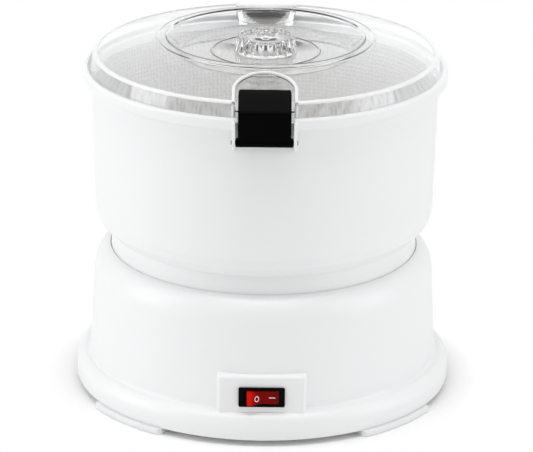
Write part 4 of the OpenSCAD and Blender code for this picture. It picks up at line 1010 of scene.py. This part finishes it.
def grit_fields():
    """Three fields of bonded grit, whose top is a grid with a fine uneven
    height. At radius r each starts asin(GRIT_GAP / r) from the ridge's middle."""
    rng = np.random.default_rng(11)
    low, shoulder = DISC_TOP + 0.004, GRIT_Z - 0.25
    outline = np.vstack([
        [[GRIT_R - 0.1, low], [GRIT_R, shoulder]],
        np.linspace((GRIT_R - 0.2, GRIT_Z), (GRIT_IN_R + 0.3, GRIT_Z), 96),
        [[GRIT_IN_R, shoulder], [GRIT_IN_R + 0.1, low]]])
    gap = np.degrees(np.arcsin(GRIT_GAP / outline[:, 0]))
    fields = []
    for middle in RIDGES:
        field = sector("field", outline, middle + gap, middle + 120 - gap, 150)
        data = field.data
        co = np.empty(len(data.vertices) * 3)
        data.vertices.foreach_get("co", co)
        p = co.reshape(-1, 3)
        top = p[:, 2] > (GRIT_Z - 0.05) * MM
        p[top, 2] += rng.uniform(-0.28, 0.12, top.sum()) * MM
        data.vertices.foreach_set("co", p.ravel())
        fields.append(field)
    return lump(*fields)


# ---- assembly

hand_over(base_shell(), WHITE, "base", "white_abs", "base_housing")
# Each foot's middle, in degrees from the right-hand side towards the rear.
FOOT_ANGLES = {
    "front_right": 315.75, "front_left": 224.6, "rear_right": 45.75, "rear_left": 135.4}
for where, angle in FOOT_ANGLES.items():
    hand_over(foot("pad_" + where, angle), SATIN, "base", "foot_plastic", "foot_" + where)
hand_over(drum_shell(), WHITE, "base", "white_abs", "drum", "drum_foot")
hand_over(liner_sleeve(), LINER, "base", "liner_grit", "wall_liner")
hand_over(bezel(), SWITCH_BLACK, "base", "black_plastic", "switch_bezel", sharp=40)
hand_over(gland(), RUBBER, "base", "black_rubber", "cord_gland")
hand_over(disc_plate(), DISC, "disc", "disc_plastic", "peeling_disc")
hand_over(grit_fields(), GRIT, "disc", "disc_grit", "disc_abrasive", sharp=60)
hand_over(lid_shell(), CLEAR, "lid", "clear_lid", "lid")
# The beads and the edge strip are near-white: a painted highlight on the clear lid's edges.
for bead in (pocket_bead("front_bead"), half_turn(pocket_bead("rear_bead")), lid_edge()):
    hand_over(bead, PAINTED_HIGHLIGHT, "lid", "clear_lid")
hand_over(clear_cap(), CLEAR, "filler_cap", "clear_lid", "filler_cap", sharp=50)
hand_over(latch_piece("front_latch"), BLACK, "latch_front", "black_plastic", "latch_front")
hand_over(half_turn(latch_piece("rear_latch")), BLACK, "latch_rear", "black_plastic", "latch_rear")
rocker_seat = shift(0, -ROCKER_Y, SWITCH_Z) @ about("Z", ROCKER_TILT)
hand_over(moved(rocker_piece(), rocker_seat), RED, "rocker", "red_rocker", "rocker")
hand_over(moved(marks(), rocker_seat), MARK, "rocker", "red_rocker")

CAD_LOOKS = (
    (WHITE, "bottom_cover"), (DARK_PIN, "latch_pins"), (BRASS, "switch_terminals"),
    (CAST, "bearing_housing motor_bracket_lower motor_bracket_upper"),
    (GROUND, "upper_bearing lower_bearing spindle motor_shaft"), (STACK, "stator rotor"),
    (RUBBER, "shaft_seal drum_gasket"), (WIRE, "windings"), (BELT, "drive_belt"),
    (ZINC, "motor_plate spindle_nut cover_screws drum_screws bearing_screws plate_screws"),
    (ZINC, "motor_bolts"), (NYLON, "driven_pulley motor_pulley cooling_fan"))
for look, nodes in CAD_LOOKS:
    for node in nodes.split():
        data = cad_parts[node].data
        data.materials.clear()
        data.materials.append(look)


# ---- studio

WORLD_LEVEL = 0.60  # what the room sheds on matt surfaces
FLOOR_HALF = 9000  # half a side
FLOOR_NEAR, FLOOR_FAR = 0.138, 0.157  # metres from the axis: the lit floor fades out
LAMP_AIM = (0, 0, 0.12)
LAMPS = {  # place and size in metres, and watts
    "left_box": ((-1.8, -0.35, 0.7), (1.0, 1.6), 12.4),
    "right_box": ((1.8, -0.5, 0.7), (1.0, 1.6), 9.2),
    "front_strip": ((0.0, -0.5, 2.1), (1.6, 0.3), 12.5),
}


def studio_world():
    """White room. Straight and refracted sight of it is plain white. Mirrored
    sight finds a bright ceiling that leans back, bright sides and a dark front,
    and what it sheds on matt surfaces is even."""
    world = bpy.data.worlds.new("studio")
    world.use_nodes = True
    bpy.context.scene.world = world
    tree = world.node_tree
    way = add(tree, "SeparateXYZ")
    link(tree, add(tree, "TexCoord").outputs["Generated"], way.inputs["Vector"])
    x, y, z = way.outputs
    lean = maths(tree, "ADD", maths(tree, "MULTIPLY", y, 0.72), maths(tree, "MULTIPLY", z, 0.69))
    ceiling = spread(tree, lean, 0.10, 1.2, -0.1, 0.75)
    sides = spread(tree, maths(tree, "ABSOLUTE", x), 0.0, 0.9, 0.55, 0.9)
    mirrored = maths(tree, "MAXIMUM", ceiling, sides)
    path = add(tree, "LightPath").outputs
    seen = maths(tree, "MAXIMUM", path["Is Camera Ray"], path["Is Transmission Ray"])
    glossy = maths(tree, "MAXIMUM", maths(tree, "SUBTRACT", path["Is Glossy Ray"], seen), 0.0)
    matt = maths(tree, "SUBTRACT", maths(tree, "SUBTRACT", 1.0, seen), glossy)
    level = maths(tree, "ADD", seen, maths(tree, "MULTIPLY", glossy, mirrored))
    level = maths(tree, "ADD", level, maths(tree, "MULTIPLY", matt, WORLD_LEVEL))
    set_sockets(tree.nodes["Background"], color=(1, 1, 1, 1))
    link(tree, level, tree.nodes["Background"].inputs["Strength"])


def sight(tree):
    """1 for camera, glossy and transmission rays, and 0 for the rest."""
    path = add(tree, "LightPath").outputs
    total = maths(tree, "MAXIMUM", path["Is Camera Ray"], path["Is Glossy Ray"])
    return maths(tree, "MAXIMUM", total, path["Is Transmission Ray"])


def pale_floor():
    """Floor that is lit like any surface near the object and plain white to
    sight further out."""
    plane = box(-FLOOR_HALF, FLOOR_HALF, -FLOOR_HALF, FLOOR_HALF)
    floor = solid("floor", np.column_stack([plane, np.zeros(4)]), [[0, 1, 2, 3]])
    mat, tree, shader, place = start_material("pale_floor")
    tree.nodes.remove(shader)
    lit, plain = add(tree, "BsdfDiffuse", color=(0.97, 0.97, 0.97, 1)), add(tree, "Emission")
    far = add(tree, "VectorMath")
    far.operation = "LENGTH"
    link(tree, place, far.inputs[0])
    fade = spread(tree, far.outputs["Value"], 0, 1, FLOOR_NEAR, FLOOR_FAR)
    choose(tree, maths(tree, "MULTIPLY", fade, sight(tree)), lit, plain)
    floor.data.materials.append(mat)


def soft_box(name, place, size, watts):
    """Area lamp of size metres at place, turned to the middle of the object."""
    lamp = bpy.data.lights.new(name, "AREA")
    lamp.shape, lamp.size, lamp.size_y, lamp.energy = "RECTANGLE", *size, watts
    obj = bpy.data.objects.new(name, lamp)
    obj.location = place
    obj.rotation_euler = (Vector(LAMP_AIM) - Vector(place)).to_track_quat("-Z", "Y").to_euler()
    bpy.context.scene.collection.objects.link(obj)


studio_world()
pale_floor()
for lamp_name, setting in LAMPS.items():
    soft_box(lamp_name, *setting)
bpy.context.scene.view_settings.view_transform = "Standard"
